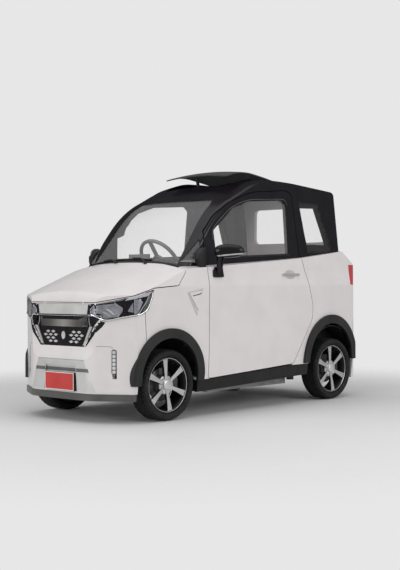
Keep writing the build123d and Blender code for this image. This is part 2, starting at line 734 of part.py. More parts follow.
cabin_air = greenhouse(pillar_depth, rail_round - 20, 60)
door_window = side_prism(door_glass, -reach, reach, 24)
door_window_fit = side_prism(grow(door_glass, -fit), -reach, reach, 24)
handle_place = (405, 985)
handle_size = (235, 30)
mirror_foot = (-415, 1000)
door_nodes = {}
for hand, side in (("left", 1), ("right", -1)):
    panel = door_part(lower_outer, lower_layer, lower_wall, cabin_air, side)
    frame = door_part(upper_outer, upper_layer, upper_inner, lower_outer, side)
    with BuildPart() as door_panel:
        add(panel)
    with BuildPart() as door_frame:
        add(frame)
        add(door_window, mode=Mode.SUBTRACT)
    with BuildPart() as door_pane:
        add(glass_shell.part)
        add(door_window_fit, mode=Mode.INTERSECT)
        add(block(*sorted((side * 300, side * 900)), -900, 900, 900, 1800), mode=Mode.INTERSECT)
    # Handle bar on two feet, proud of the panel
    handle_y, handle_z = handle_place
    handle_long, handle_tall = handle_size
    with BuildPart() as door_handle:
        with BuildSketch(Plane.XY.offset(handle_z - handle_tall / 2)):
            with BuildLine():
                grip = [(594, -handle_long / 2), (606, -handle_long / 2), (622, -handle_long / 2 + 24),
                        (622, handle_long / 2 - 24), (606, handle_long / 2), (594, handle_long / 2)]
                FilletPolyline(*[(side * x, handle_y + y) for x, y in grip], radius=[0, 5, 12, 12, 5, 0], close=True)
            make_face()
        extrude(amount=handle_tall)
        with BuildSketch(Plane.XY.offset(handle_z - handle_tall / 2 - 1)):
            with Locations((side * 603, handle_y)):
                Rectangle(18, handle_long - 70)
        extrude(amount=handle_tall + 2, mode=Mode.SUBTRACT)
        add(panel, mode=Mode.SUBTRACT)
    # Mirror: foot on the panel, arm and a rounded housing
    foot_y, foot_z = mirror_foot
    with BuildPart() as door_mirror:
        with BuildSketch(Plane.YZ.offset(side * 560)):
            with Locations((foot_y, foot_z)):
                Rectangle(70, 46)
        extrude(amount=side * 60)
        with BuildSketch(Plane.YZ.offset(side * 600)):
            with Locations((foot_y + 6, foot_z + 6)):
                Rectangle(34, 26)
        with BuildSketch(Plane.YZ.offset(side * 662)):
            with Locations((foot_y + 30, foot_z + 118)):
                Rectangle(34, 26)
        loft()
        with BuildSketch(Plane.YZ.offset(side * 645)) as housing_inner:
            with Locations((foot_y + 30, foot_z + 150)):
                RectangleRounded(110, 84, 26)
        with BuildSketch(Plane.YZ.offset(side * 700)) as housing_mid:
            with Locations((foot_y + 34, foot_z + 150)):
                RectangleRounded(128, 100, 34)
        with BuildSketch(Plane.YZ.offset(side * 790)) as housing_tip:
            with Locations((foot_y + 44, foot_z + 152)):
                RectangleRounded(96, 84, 30)
        loft(sections=[housing_inner.sketch, housing_mid.sketch])
        loft(sections=[housing_mid.sketch, housing_tip.sketch])
        add(lower_outer, mode=Mode.SUBTRACT)
    door_nodes.update({
        f"door_{hand}_panel": door_panel, f"door_{hand}_frame": door_frame, f"door_{hand}_glass": door_pane,
        f"door_{hand}_handle": door_handle, f"door_{hand}_mirror": door_mirror,
    })

# Fender vents: a slim triangle on each side behind the front wheel
with BuildPart() as fender_vents:
    add(lower_body(-3))
    add(trim_inner, mode=Mode.SUBTRACT)
    add(side_prism([(-715, 862), (-565, 888), (-622, 700)], -reach, reach), mode=Mode.INTERSECT)

# Floor, firewall, rails and rear floor in one pressing
floor_z = 204
floor_sheet = 18
rear_floor_z = 600
firewall_y = (-590, -573)
with BuildPart() as floor_pan:
    add(block(-510, 510, firewall_y[1], 650, floor_z, floor_z + floor_sheet))
    add(block(-514, 514, *firewall_y, floor_z, 1020))
    add(block(-391, 391, 632, 650, floor_z, rear_floor_z))
    add(block(-391, 391, 632, 1200, rear_floor_z - 14, rear_floor_z))
    for side in (1, -1):
        add(block(*sorted((side * 225, side * 280)), -1240, firewall_y[0], 250, 330))
        add(block(*sorted((side * 300, side * 360)), 650, 1250, 330, 400))
        add(block(*sorted((side * 300, side * 360)), 632, 650, 204, 600))
    add(block(-285, 285, -1290, -1240, 240, 340))
    add(block(-360, 360, 1215, 1262, 320, 410))
    add(block(-170, 170, -90, 300, floor_z + floor_sheet, 395))
    with BuildSketch(Plane.XY.offset(floor_z - 28)):
        for x, y in ((470, -470), (470, 560)):
            with Locations((x, y), (-x, y)):
                Circle(28)
    extrude(amount=30)
    add(well_void.part, mode=Mode.SUBTRACT)
    add(sills.part, mode=Mode.SUBTRACT)

battery_size = (860, 900, 60)
with BuildPart() as battery_pack:
    w, d, h = battery_size
    add(block(-w / 2, w / 2, -350, -350 + d, floor_z - fit - h, floor_z - fit))

# Dashboard, its display and the steering column on one moulding
column_top = 26
column_rise = math.radians(steering_wheel_tilt)
column_axis = (0, -math.cos(column_rise), -math.sin(column_rise))
wheel_y, wheel_z = steering_wheel_centre
column_plane = Plane((0, wheel_y, wheel_z), x_dir=(1, 0, 0), z_dir=column_axis)
dash_profile = [
    (-608, 1028), (-560, 1074), (-490, 1062), (-462, 1030), (-470, 900), (-520, 780), (-572, 760), (-572, 1000),
]
with BuildPart() as dashboard:
    with BuildSketch(Plane.YZ.offset(-490)):
        with BuildLine():
            FilletPolyline(*dash_profile, radius=[0, 14, 30, 30, 60, 30, 0, 0], close=True)
        make_face()
    extrude(amount=980)
    with BuildSketch(column_plane.offset(column_top)):
        Circle(34)
    extrude(amount=150)
    add(block(-215, -5, -500, -484, 1040, 1140))
    add(upper_inner + lower_wall, mode=Mode.INTERSECT)
    add(floor_pan.part, mode=Mode.SUBTRACT)
    add(front_fenders.part, mode=Mode.SUBTRACT)
    add(cowl.part, mode=Mode.SUBTRACT)

with BuildPart() as steering_wheel:
    with BuildSketch(Plane((0, wheel_y, wheel_z), x_dir=column_axis, z_dir=(1, 0, 0))):
        with Locations((0, steering_wheel_radius)):
            Ellipse(15, 13)
    revolve(axis=Axis((0, wheel_y, wheel_z), column_axis))
    with BuildSketch(column_plane.offset(2)):
        Circle(52)
    extrude(amount=column_top - fit - 2)
    with BuildSketch(column_plane.offset(4)):
        for angle in (0, 180, 90):
            with Locations(Location((0, 0, 0), (0, 0, angle))):
                with Locations(((steering_wheel_radius - 4) / 2, 0)):
                    Rectangle(steering_wheel_radius - 4, 34)
    extrude(amount=10)

# Seats: one in the middle for the driver, a bench behind
seat_width = 460
with BuildPart() as driver_seat:
    for outline, half, radius in (
        ([(-110, 395.3), (330, 395.3), (350, 500), (-90, 530)], seat_width / 2, [20, 10, 40, 50]),
        ([(262, 535), (378, 540), (448, 1040), (372, 1050)], 215, [20, 20, 30, 30]),
        ([(388, 1062), (448, 1056), (464, 1188), (412, 1196)], 120, [14, 14, 28, 28]),
    ):
        with BuildSketch(Plane.YZ.offset(-half)):
            with BuildLine():
                FilletPolyline(*outline, radius=radius, close=True)
            make_face()
        extrude(amount=2 * half)
    with BuildSketch(Plane.XY.offset(1030)):
        with Locations((-60, 412), (60, 412)):
            Circle(6)
    extrude(amount=50)
    add(block(-150, 150, 290, 350, 480, 560))

with BuildPart() as rear_bench:
    for outline, half, radius in (
        ([(600, rear_floor_z + fit), (1010, rear_floor_z + fit), (1010, 690), (590, 712)], 385, [10, 10, 20, 45]),
        ([(930, 692), (1030, 692), (1100, 1050), (1034, 1056)], 430, [10, 10, 24, 24]),
    ):
        with BuildSketch(Plane.YZ.offset(-half)):
            with BuildLine():
                FilletPolyline(*outline, radius=radius, close=True)
            make_face()
        extrude(amount=2 * half)
    add(well_void.part, mode=Mode.SUBTRACT)
    add(rear_quarters.part, mode=Mode.SUBTRACT)
    add(tailgate.part, mode=Mode.SUBTRACT)


def wheel_tyre(axle_y, side):
    """Tyre: bevelled section turned about the axle."""
    half = tyre_width / 2
    section = [
        (-54, rim_lip + fit), (-54, 188), (-half, 205), (-half + 3, 227), (-62, tyre_radius), (62, tyre_radius),
        (half - 3, 227), (half, 205), (54, 188), (54, rim_lip + fit),
    ]
    with BuildPart() as tyre:
        with BuildSketch(Plane.XZ.offset(-axle_y)):
            with BuildLine():
                Polyline(*[(side * wheel_x + x, wheel_centre_z + z) for x, z in section], close=True)
            make_face()
        revolve(axis=Axis((0, axle_y, wheel_centre_z), (1, 0, 0)))
    return tyre


spoke_count = 6
spoke_gap = [(52, -12), (134, -60), (148, -36), (155, 0), (148, 36), (134, 60), (52, 12)]
hub_bore = 20
brake_disc_radius = 112


with BuildSketch() as spoke_window:
    with BuildLine():
        FilletPolyline(*spoke_gap, radius=[5, 8, 20, 60, 20, 8, 5], close=True)
    make_face()


def wheel_rim(axle_y, side):
    """Alloy wheel: barrel with two flanges, six spokes, hub and the brake disc behind it."""
    section = [
        (-60, 160), (-60, rim_radius), (-54.3, rim_radius), (-54.3, rim_lip), (54.3, rim_lip),
        (54.3, rim_radius), (60, rim_radius), (60, 166), (52, 160),
    ]
    with BuildPart() as rim:
        with BuildSketch(Plane.XZ.offset(-axle_y)):
            with BuildLine():
                Polyline(*[(side * (wheel_x + x), wheel_centre_z + z) for x, z in section], close=True)
            make_face()
        revolve(axis=Axis((0, axle_y, wheel_centre_z), (1, 0, 0)))
        face_x = wheel_x + 34
        with BuildSketch(Plane.YZ.offset(side * face_x)):
            with Locations((axle_y, wheel_centre_z)):
                Circle(163)
                with PolarLocations(0, spoke_count, start_angle=90):
                    add(spoke_window.sketch, mode=Mode.SUBTRACT)
        extrude(amount=side * 14)
        with BuildSketch(Plane.YZ.offset(side * (wheel_x - 14))):
            with Locations((axle_y, wheel_centre_z)):
                Circle(44)
        extrude(amount=side * 66)
        with BuildSketch(Plane.YZ.offset(side * (wheel_x - 14))):
            with Locations((axle_y, wheel_centre_z)):
                Circle(brake_disc_radius)
        extrude(amount=side * 12)
        with BuildSketch(Plane.YZ.offset(side * (wheel_x - 20))):
            with Locations((axle_y, wheel_centre_z)):
                Circle(hub_bore + fit)
        extrude(amount=side * 50, mode=Mode.SUBTRACT)
    return rim


wheels = {"fl": (front_axle_y, 1), "fr": (front_axle_y, -1), "rl": (rear_axle_y, 1), "rr": (rear_axle_y, -1)}
wheel_nodes = {}
for place, (axle_y, side) in wheels.items():
    wheel_nodes[f"tyre_{place}"] = wheel_tyre(axle_y, side)
    wheel_nodes[f"wheel_{place}"] = wheel_rim(axle_y, side)


def caliper(axle_y, side):
    """Brake caliper straddling the rear edge of the disc, slotted for it."""
    low, high = sorted((side * (wheel_x - 36), side * (wheel_x + 14)))
    slot = sorted((side * (wheel_x - 19), side * (wheel_x + 3)))
    with BuildPart() as body:
        add(block(low, high, axle_y + 74, axle_y + 136, wheel_centre_z - 44, wheel_centre_z + 44))
        add(disc(axle_y, wheel_centre_z, brake_disc_radius + 6, *slot), mode=Mode.SUBTRACT)
        add(disc(axle_y, wheel_centre_z, 142, -reach, reach), mode=Mode.INTERSECT)
    return body.part


def stub(axle_y, side, x_in):
    """Stub axle from x_in into the bore of the hub."""
    return disc(axle_y, wheel_centre_z, hub_bore, *sorted((side * x_in, side * (wheel_x + 20))))


kingpin_dir = (kingpin_high[0] - kingpin_low[0], 0, kingpin_high[1] - kingpin_low[1])
kingpin_slope = kingpin_dir[0] / kingpin_dir[2]


def on_kingpin(z):
    """Distance of the steering axis from the middle of the car at height z."""
    return kingpin_low[0] + kingpin_slope * (z - kingpin_low[1])


steer_arm_z = 221
knuckle_low = 193
knuckle_high = 330
knuckle_nodes = {}
for hand, side in (("left", 1), ("right", -1)):
    with BuildPart() as knuckle:
        along = (side * kingpin_dir[0], 0, kingpin_dir[2])
        foot = (side * on_kingpin(knuckle_low), front_axle_y, knuckle_low)
        with BuildSketch(Plane(foot, x_dir=(0, 1, 0), z_dir=along)):
            Circle(22)
        extrude(amount=(knuckle_high - knuckle_low) * math.hypot(1, kingpin_slope))
        add(block(*sorted((side * 425, side * 482)), front_axle_y - 40, front_axle_y + 40,
                  wheel_centre_z - 34, wheel_centre_z + 46))
        add(block(*sorted((side * 455, side * 482)), front_axle_y - 30, front_axle_y + 100,
                  wheel_centre_z - 30, wheel_centre_z + 30))
        add(stub(front_axle_y, side, 460))
        add(caliper(front_axle_y, side))
        add(block(*sorted((side * 412, side * 440)), front_axle_y + 20, front_axle_y + steer_arm + 14,
                  steer_arm_z, steer_arm_z + 14))
    knuckle_nodes[f"knuckle_{hand}"] = knuckle

# Spring struts from the knuckles up to the roofs of the wheel houses
with BuildPart() as struts:
    for side in (1, -1):
        along = (side * kingpin_dir[0], 0, kingpin_dir[2])
        for low, high, radius in ((knuckle_high + fit, kingpin_high[1], 20), (486, 556, 48)):
            foot = (side * on_kingpin(low), front_axle_y, low)
            with BuildSketch(Plane(foot, x_dir=(0, 1, 0), z_dir=along)):
                Circle(radius)
            extrude(amount=(high - low) * math.hypot(1, kingpin_slope))
    add(disc(front_axle_y, well_z, well_radius - fit, -reach, reach), mode=Mode.INTERSECT)

rack_y = front_axle_y + steer_arm
rack_z = 197
rack_radius = 8
with BuildPart() as front_suspension:
    add(block(-240, 240, front_axle_y - 60, front_axle_y + 60, 165, 205))
    add(struts.part)
    for side in (1, -1):
        add(block(*sorted((side * 225, side * 281)), front_axle_y - 50, front_axle_y + 50, 205, 249.7))
        add(block(*sorted((side * 225, side * 462)), front_axle_y - 22, front_axle_y + 22, 168, 188))
        # Clamps that carry the steering rack
        add(block(*sorted((side * 95, side * 135)), front_axle_y + 50, rack_y + 18, rack_z - 14, rack_z + 14))
    add(disc(rack_y, rack_z, rack_radius + fit, -reach, reach), mode=Mode.SUBTRACT)

with BuildPart() as steering_rack:
    add(block(-20, 20, rack_y - 12, rack_y + 12, rack_z - 9, rack_z + 9))
    add(disc(rack_y, rack_z, rack_radius, -438, 438))

with BuildPart() as rear_axle:
    add(block(-330, 330, rear_axle_y - 35, rear_axle_y + 35, 205, 275))
    with BuildSketch(Plane.YZ.offset(-150)):
        with Locations((rear_axle_y, 250)):
            Circle(105)
    extrude(amount=300)
    for side in (1, -1):
        add(disc(rear_axle_y, wheel_centre_z, 30, *sorted((side * 320, side * 482))))
        add(block(*sorted((side * 455, side * 482)), rear_axle_y - 30, rear_axle_y + 100,
                  wheel_centre_z - 30, wheel_centre_z + 30))
        add(stub(rear_axle_y, side, 460))
        add(caliper(rear_axle_y, side))
        add(block(*sorted((side * 305, side * 355)), 660, rear_axle_y, 230, 270))
        with BuildSketch(Plane.XY.offset(270)):
            with Locations((side * 330, rear_axle_y)):
                Circle(42)
        extrude(amount=59.7)

pieces = {
    "hood": hood, "headlamp_housings": headlamp_housings, "headlamp_lenses": headlamp_lenses,
    "daytime_lamps": daytime_lamps, "grille_band": grille_band, "grille": grille, "grille_cells": grille_cells,
    "grille_bars": grille_bars, "lower_insert": lower_insert,
    "number_plate": number_plate, "bumper_lip": bumper_lip, "front_bumper": front_bumper,
    "front_fenders": front_fenders, "cowl": cowl, "cabin_frame": cabin_frame, "windshield": windshield,
    "side_glass": side_glass, "tail_lamps": tail_lamps, "rear_quarters": rear_quarters,
    "rear_bumper": rear_bumper, "tailgate": tailgate, "tailgate_glass": tailgate_glass,
    "sunroof_glass": sunroof_glass, "sunroof_latch": sunroof_latch, "sills": sills,
    "arch_trims": arch_trims, "wheel_houses": wheel_houses,
    "fender_vents": fender_vents, "floor_pan": floor_pan, "battery_pack": battery_pack, "dashboard": dashboard,
    "steering_wheel": steering_wheel, "driver_seat": driver_seat, "rear_bench": rear_bench,
    "front_suspension": front_suspension, "steering_rack": steering_rack, "rear_axle": rear_axle,
    **door_nodes, **wheel_nodes, **knuckle_nodes,
}
for name, piece in pieces.items():
    piece.part.label = name
    export_step(piece.part, f"parts/{name}.step")
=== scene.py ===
import json
import math
import bmesh
import bpy
from mathutils import Matrix, Vector
from mathutils.bvhtree import BVHTree


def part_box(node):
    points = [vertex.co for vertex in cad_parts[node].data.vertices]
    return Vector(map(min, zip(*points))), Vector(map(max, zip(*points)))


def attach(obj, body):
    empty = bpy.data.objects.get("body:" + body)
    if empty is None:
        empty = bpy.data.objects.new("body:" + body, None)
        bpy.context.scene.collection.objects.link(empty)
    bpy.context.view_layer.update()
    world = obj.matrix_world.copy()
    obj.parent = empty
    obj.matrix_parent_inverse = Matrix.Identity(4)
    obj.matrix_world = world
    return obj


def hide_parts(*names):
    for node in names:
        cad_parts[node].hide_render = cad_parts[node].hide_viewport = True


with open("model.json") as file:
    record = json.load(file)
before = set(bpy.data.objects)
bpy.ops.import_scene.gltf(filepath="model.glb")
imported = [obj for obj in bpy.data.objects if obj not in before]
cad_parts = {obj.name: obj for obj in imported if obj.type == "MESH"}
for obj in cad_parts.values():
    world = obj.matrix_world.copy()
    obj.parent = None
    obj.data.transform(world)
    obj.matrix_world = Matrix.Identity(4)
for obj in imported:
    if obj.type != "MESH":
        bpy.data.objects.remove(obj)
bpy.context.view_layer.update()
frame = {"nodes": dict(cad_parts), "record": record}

nodes = frame["nodes"]
scene = bpy.context.scene


# Materials
noise_low, noise_high = 0.3, 0.7
coat_rough = 0.05


def new_material(name):
    mat = bpy.data.materials.new(name)
    mat.use_nodes = True
    tree = mat.node_tree
    return mat, tree, tree.nodes["Principled BSDF"]


def coords(tree):
    return tree.nodes.new("ShaderNodeTexCoord").outputs["Object"]


def noise(tree, scale, detail=4.0):
    node = tree.nodes.new("ShaderNodeTexNoise")
    node.inputs["Scale"].default_value = scale
    node.inputs["Detail"].default_value = detail
    tree.links.new(coords(tree), node.inputs["Vector"])
    return node.outputs["Fac"]


def ramp(tree, value, stops):
    """Colours between stops, each a place and a colour."""
    node = tree.nodes.new("ShaderNodeValToRGB")
    cr = node.color_ramp
    while len(cr.elements) < len(stops):
        cr.elements.new(0.5)
    for element, (place, colour) in zip(cr.elements, stops):
        element.position = place
        element.color = (*colour, 1)
    tree.links.new(value, node.inputs["Fac"])
    return node.outputs["Color"]


def spread(tree, value, low, high):
    """A noise's usual values stretched to run from low to high."""
    node = tree.nodes.new("ShaderNodeMapRange")
    node.inputs["From Min"].default_value = noise_low
    node.inputs["From Max"].default_value = noise_high
    node.inputs["To Min"].default_value = low
    node.inputs["To Max"].default_value = high
    tree.links.new(value, node.inputs["Value"])
    return node.outputs["Result"]


def bump(tree, bsdf, value, strength, distance):
    node = tree.nodes.new("ShaderNodeBump")
    node.inputs["Strength"].default_value = strength
    node.inputs["Distance"].default_value = distance
    tree.links.new(value, node.inputs["Height"])
    tree.links.new(node.outputs["Normal"], bsdf.inputs["Normal"])


def calc(tree, operation, *values):
    """A Math node over numbers and sockets."""
    node = tree.nodes.new("ShaderNodeMath")
    node.operation = operation
    for i, value in enumerate(values):
        if isinstance(value, (int, float)):
            node.inputs[i].default_value = value
        else:
            tree.links.new(value, node.inputs[i])
    return node.outputs[0]


def axis_values(mat):
    """The x, y and z of the place that is shaded."""
    split = mat.node_tree.nodes.new("ShaderNodeSeparateXYZ")
    mat.node_tree.links.new(coords(mat.node_tree), split.inputs[0])
    return split.outputs


def mix_shaders(tree, share, first, second):
    """The second shader over the first by a share, a number or a socket."""
    mix = tree.nodes.new("ShaderNodeMixShader")
    if isinstance(share, float):
        mix.inputs[0].default_value = share
    else:
        tree.links.new(share, mix.inputs[0])
    tree.links.new(first, mix.inputs[1])
    tree.links.new(second, mix.inputs[2])
    return mix.outputs[0]


def mix_colours(tree, factor, first):
    """A node that mixes its input B over the first colour."""
    mix = tree.nodes.new("ShaderNodeMix")
    mix.data_type = "RGBA"
    tree.links.new(factor, mix.inputs["Factor"])
    tree.links.new(first, mix.inputs["A"])
    return mix


def plain(name, low, high, rough, metal=0.0, coat=0.0, grain=400, depth=0.1, patch=6, spec=0.5):
    """A surface whose colour, roughness and fine relief vary a little over it."""
    mat, tree, bsdf = new_material(name)
    tree.links.new(ramp(tree, noise(tree, patch), [(0.35, low), (0.65, high)]),
                   bsdf.inputs["Base Color"])
    tree.links.new(spread(tree, noise(tree, patch * 2.5), *rough), bsdf.inputs["Roughness"])
    bsdf.inputs["Metallic"].default_value = metal
    bsdf.inputs["Coat Weight"].default_value = coat
    bsdf.inputs["Coat Roughness"].default_value = coat_rough
    bsdf.inputs["Specular IOR Level"].default_value = spec
    bump(tree, bsdf, noise(tree, grain, 2), depth, 0.0006)
    return mat


def dark_gloss(name, low, high, share, rough):
    """Black surface with an even, weak mirror that doesn't flare at grazing angles."""
    mat = plain(name, low, high, (0.5, 0.6), grain=900, depth=0.02, spec=0.0)
    tree = mat.node_tree
    shine = tree.nodes.new("ShaderNodeBsdfPrincipled")
    shine.inputs["Metallic"].default_value = 1.0
    shine.inputs["Base Color"].default_value = (0.9, 0.88, 0.92, 1)
    tree.links.new(spread(tree, noise(tree, 12), *rough), shine.inputs["Roughness"])
    both = mix_shaders(tree, share, tree.nodes["Principled BSDF"].outputs[0], shine.outputs[0])
    tree.links.new(both, tree.nodes["Material Output"].inputs["Surface"])
    return mat


paint = plain("white_paint", (0.71, 0.665, 0.670), (0.75, 0.705, 0.710), (0.3, 0.38), coat=0.8,
              grain=900, depth=0.02)
black_gloss = dark_gloss("gloss_black", (0.005, 0.0043, 0.006), (0.008, 0.0068, 0.009), 0.032,
                         (0.16, 0.24))
trim_grey = plain("grained_grey_plastic", (0.014, 0.014, 0.015), (0.022, 0.022, 0.023), (0.5, 0.62),
                  grain=1600, depth=0.5, spec=0.3)
trim_black = plain("grained_black_plastic", (0.007, 0.007, 0.008), (0.012, 0.012, 0.013),
                   (0.45, 0.6), grain=1600, depth=0.5, spec=0.3)
silver = plain("satin_silver", (0.60, 0.60, 0.59), (0.70, 0.70, 0.69), (0.3, 0.4), metal=0.6,
               grain=1200, depth=0.05)
chrome = plain("chrome", (0.78, 0.78, 0.79), (0.86, 0.86, 0.87), (0.05, 0.1), metal=1.0, grain=700,
               depth=0.02)
steel = plain("painted_steel", (0.05, 0.05, 0.052), (0.09, 0.085, 0.08), (0.45, 0.65), metal=0.4,
              grain=500, depth=0.4)
disc_steel = plain("brake_steel", (0.06, 0.06, 0.06), (0.11, 0.105, 0.10), (0.35, 0.5), metal=0.8,
                   grain=800, depth=0.3)
chassis_mat = plain("underbody_black", (0.012, 0.012, 0.012), (0.03, 0.029, 0.028), (0.55, 0.75),
                    grain=300, depth=0.6)
cabin_mat = plain("cabin_plastic", (0.09, 0.09, 0.092), (0.13, 0.13, 0.132), (0.5, 0.62),
                  grain=1500, depth=0.5)
battery_mat = plain("cast_case", (0.25, 0.25, 0.26), (0.35, 0.35, 0.36), (0.4, 0.55), metal=0.8,
                    grain=350, depth=0.5)
lamp_housing_mat = plain("lamp_housing_grey", (0.10, 0.10, 0.105), (0.16, 0.16, 0.165),
                         (0.25, 0.35), metal=0.5)
plate_mat = plain("plate_red", (0.50, 0.035, 0.03), (0.58, 0.05, 0.045), (0.35, 0.45), grain=700,
                  depth=0.1)
seat_mat = plain("seat_cloth", (0.018, 0.018, 0.02), (0.035, 0.035, 0.037), (0.75, 0.9), grain=1200,
                 depth=0.9)


def glass(name, tint, cover=0.02, flare=0.7, veil=0.0):
    """Thin pane: a tint, a gloss that grows towards grazing angles and a faint veil."""
    mat, tree, bsdf = new_material(name)
    clear = tree.nodes.new("ShaderNodeBsdfTransparent")
    clear.inputs["Color"].default_value = (*tint, 1)
    tree.links.new(ramp(tree, noise(tree, 5),
                        [(0.3, (0.02, 0.022, 0.022)), (0.7, (0.03, 0.032, 0.032))]),
                   bsdf.inputs["Base Color"])
    tree.links.new(spread(tree, noise(tree, 20), 0.012, 0.032), bsdf.inputs["Roughness"])
    facing = tree.nodes.new("ShaderNodeLayerWeight")
    facing.inputs["Blend"].default_value = 0.5
    share = calc(tree, "MULTIPLY_ADD", calc(tree, "POWER", facing.outputs["Facing"], 4.5), flare,
                 cover)
    soft = tree.nodes.new("ShaderNodeBsdfDiffuse")
    soft.inputs["Color"].default_value = (veil, veil, veil, 1)
    both = tree.nodes.new("ShaderNodeAddShader")
    tree.links.new(mix_shaders(tree, share, clear.outputs[0], bsdf.outputs[0]), both.inputs[0])
    tree.links.new(soft.outputs[0], both.inputs[1])
    tree.links.new(both.outputs[0], tree.nodes["Material Output"].inputs["Surface"])
    return mat


glass_clear = glass("window_glass", (0.965, 0.965, 0.965), veil=0.055)
glass_tint = glass("sunroof_glass_tinted", (0.10, 0.10, 0.105), cover=0.05, flare=0.06, veil=0.06)
lamp_clear = glass("lamp_lens", (0.97, 0.975, 0.985), cover=0.025)
red_mat = plain("lamp_red", (0.42, 0.008, 0.008), (0.5, 0.012, 0.012), (0.12, 0.2), coat=1.0)
alloy = plain("alloy_face", (0.56, 0.565, 0.57), (0.68, 0.685, 0.69), (0.24, 0.34), metal=0.85,
              grain=900, depth=0.05)
wheel_black = plain("wheel_black", (0.005, 0.005, 0.006), (0.009, 0.009, 0.010), (0.4, 0.5),
                    spec=0.3)
cell_chrome = plain("grille_chrome", (0.74, 0.73, 0.72), (0.84, 0.83, 0.82), (0.2, 0.3), metal=0.75)


def tyre_material():
    mat, tree, bsdf = new_material("tyre_rubber")
    tree.links.new(ramp(tree, noise(tree, 14),
                        [(0.3, (0.007, 0.007, 0.007)), (0.7, (0.014, 0.014, 0.013))]),
                   bsdf.inputs["Base Color"])
    bsdf.inputs["Specular IOR Level"].default_value = 0.3
    tree.links.new(spread(tree, noise(tree, 40), 0.55, 0.8), bsdf.inputs["Roughness"])
    bump(tree, bsdf, noise(tree, 700, 3), 0.4, 0.0008)
    return mat


rubber = tyre_material()

# Every CAD node gets the surface of its slot, and three pieces one of their own
slot_material = {
    "paint": paint, "black_gloss": black_gloss, "trim_grey": trim_grey, "trim_black": trim_black,
    "silver": silver,
    "chrome": chrome, "glass_clear": glass_clear, "glass_tint": glass_tint,
    "lamp_clear": lamp_clear,
    "lamp_housing": lamp_housing_mat, "lamp_red": red_mat, "plate": plate_mat, "tyre": rubber,
    "alloy": alloy,
    "steel": steel, "chassis": chassis_mat, "cabin_plastic": cabin_mat, "seat": seat_mat,
    "battery": battery_mat,
}
for sub in frame["record"]["subparts"]:
    mesh = nodes[sub["node"]].data
    mesh.materials.clear()
    mesh.materials.append(slot_material[sub["material_slot"]])
bar_silver = plain("grille_bar_silver", (0.50, 0.50, 0.49), (0.60, 0.60, 0.59), (0.3, 0.4),
                   metal=0.6, grain=1200, depth=0.05)
lip_satin = plain("lip_satin", (0.060, 0.060, 0.058), (0.090, 0.090, 0.087), (0.35, 0.45),
                  grain=1200, depth=0.3)
for name, mat in {"grille_cells": cell_chrome, "grille_bars": bar_silver,
                  "bumper_lip": lip_satin}.items():
    nodes[name].data.materials[0] = mat


def recolour(mat, factor, colour):
    """Mix a flat colour into a surface where the factor is 1."""
    tree = mat.node_tree
    base = tree.nodes["Principled BSDF"].inputs["Base Color"]
    mix = mix_colours(tree, factor, base.links[0].from_socket)
    mix.inputs["B"].default_value = (*colour, 1)
    tree.links.new(mix.outputs["Result"], base)


def distance(tree, value, place):
    return calc(tree, "ABSOLUTE", calc(tree, "SUBTRACT", value, place))


def near_arch(mat, middle, radius):
    """1 inside a circle around an arch's middle (y, z), as seen from the side."""
    tree = mat.node_tree
    squares = [calc(tree, "POWER", distance(tree, value, place), 2)
               for value, place in zip(axis_values(mat)[1:], middle)]
    return calc(tree, "LESS_THAN", calc(tree, "ADD", *squares), radius * radius)


# The arches' cut edges behind the trims are black: front arch, its part in the bumper, rear arch
edge_black = (0.008, 0.008, 0.008)
front_arch, rear_arch = (-0.875, 0.299), (0.936, 0.313)
bumper_rear_y = -1.06
in_bumper = calc(paint.node_tree, "LESS_THAN", axis_values(paint)[1], bumper_rear_y)
recolour(paint, near_arch(paint, front_arch, 0.259), edge_black)
recolour(paint, calc(paint.node_tree, "MULTIPLY", near_arch(paint, front_arch, 0.277), in_bumper),
         edge_black)
recolour(paint, near_arch(paint, rear_arch, 0.291), edge_black)

# The grille's highest bar is black; the number plate has a pale border and dark sides
top_bar_z = 0.655
recolour(bar_silver,
         calc(bar_silver.node_tree, "GREATER_THAN", axis_values(bar_silver)[2], top_bar_z),
         (0.01, 0.01, 0.01))
plate_low, plate_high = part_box("number_plate")
plate_border = 0.005
plate_face_y = -1.3525
plate_tree = plate_mat.node_tree
across_car, along_car, height = axis_values(plate_mat)
middle_z = (plate_low[2] + plate_high[2]) / 2
half_height = (plate_high[2] - plate_low[2]) / 2
beside = calc(plate_tree, "GREATER_THAN", distance(plate_tree, across_car, 0),
              plate_high[0] - plate_border)
above = calc(plate_tree, "GREATER_THAN", distance(plate_tree, height, middle_z),
             half_height - plate_border)
recolour(plate_mat, calc(plate_tree, "MAXIMUM", beside, above), (0.74, 0.72, 0.71))
recolour(plate_mat, calc(plate_tree, "GREATER_THAN", along_car, plate_face_y), (0.02, 0.02, 0.02))

# Camera, fitted to the photograph
azimuth, pitch, roll = (math.radians(angle) for angle in (43.10, 0.18, -0.25))
camera_place = (5.772, -6.121, 0.936)
focal_length, sensor_width = 69.28, 36
back = Vector((math.sin(azimuth) * math.cos(pitch), -math.cos(azimuth) * math.cos(pitch),
               math.sin(pitch)))
right = Vector((math.cos(azimuth), math.sin(azimuth), 0))
up = right.cross(-back)
right_rolled = right * math.cos(roll) + up * math.sin(roll)
up_rolled = -right * math.sin(roll) + up * math.cos(roll)
cam_data = bpy.data.cameras.new("camera")
cam_data.lens = focal_length
cam_data.sensor_width = sensor_width
cam_data.sensor_fit = "AUTO"
cam_data.clip_end = 100
cam = bpy.data.objects.new("camera", cam_data)
scene.collection.objects.link(cam)
turn = Matrix((right_rolled, up_rolled, back)).transposed().to_4x4()
cam.matrix_world = Matrix.Translation(camera_place) @ turn
scene.camera = cam
scene.view_settings.view_transform = "Standard"


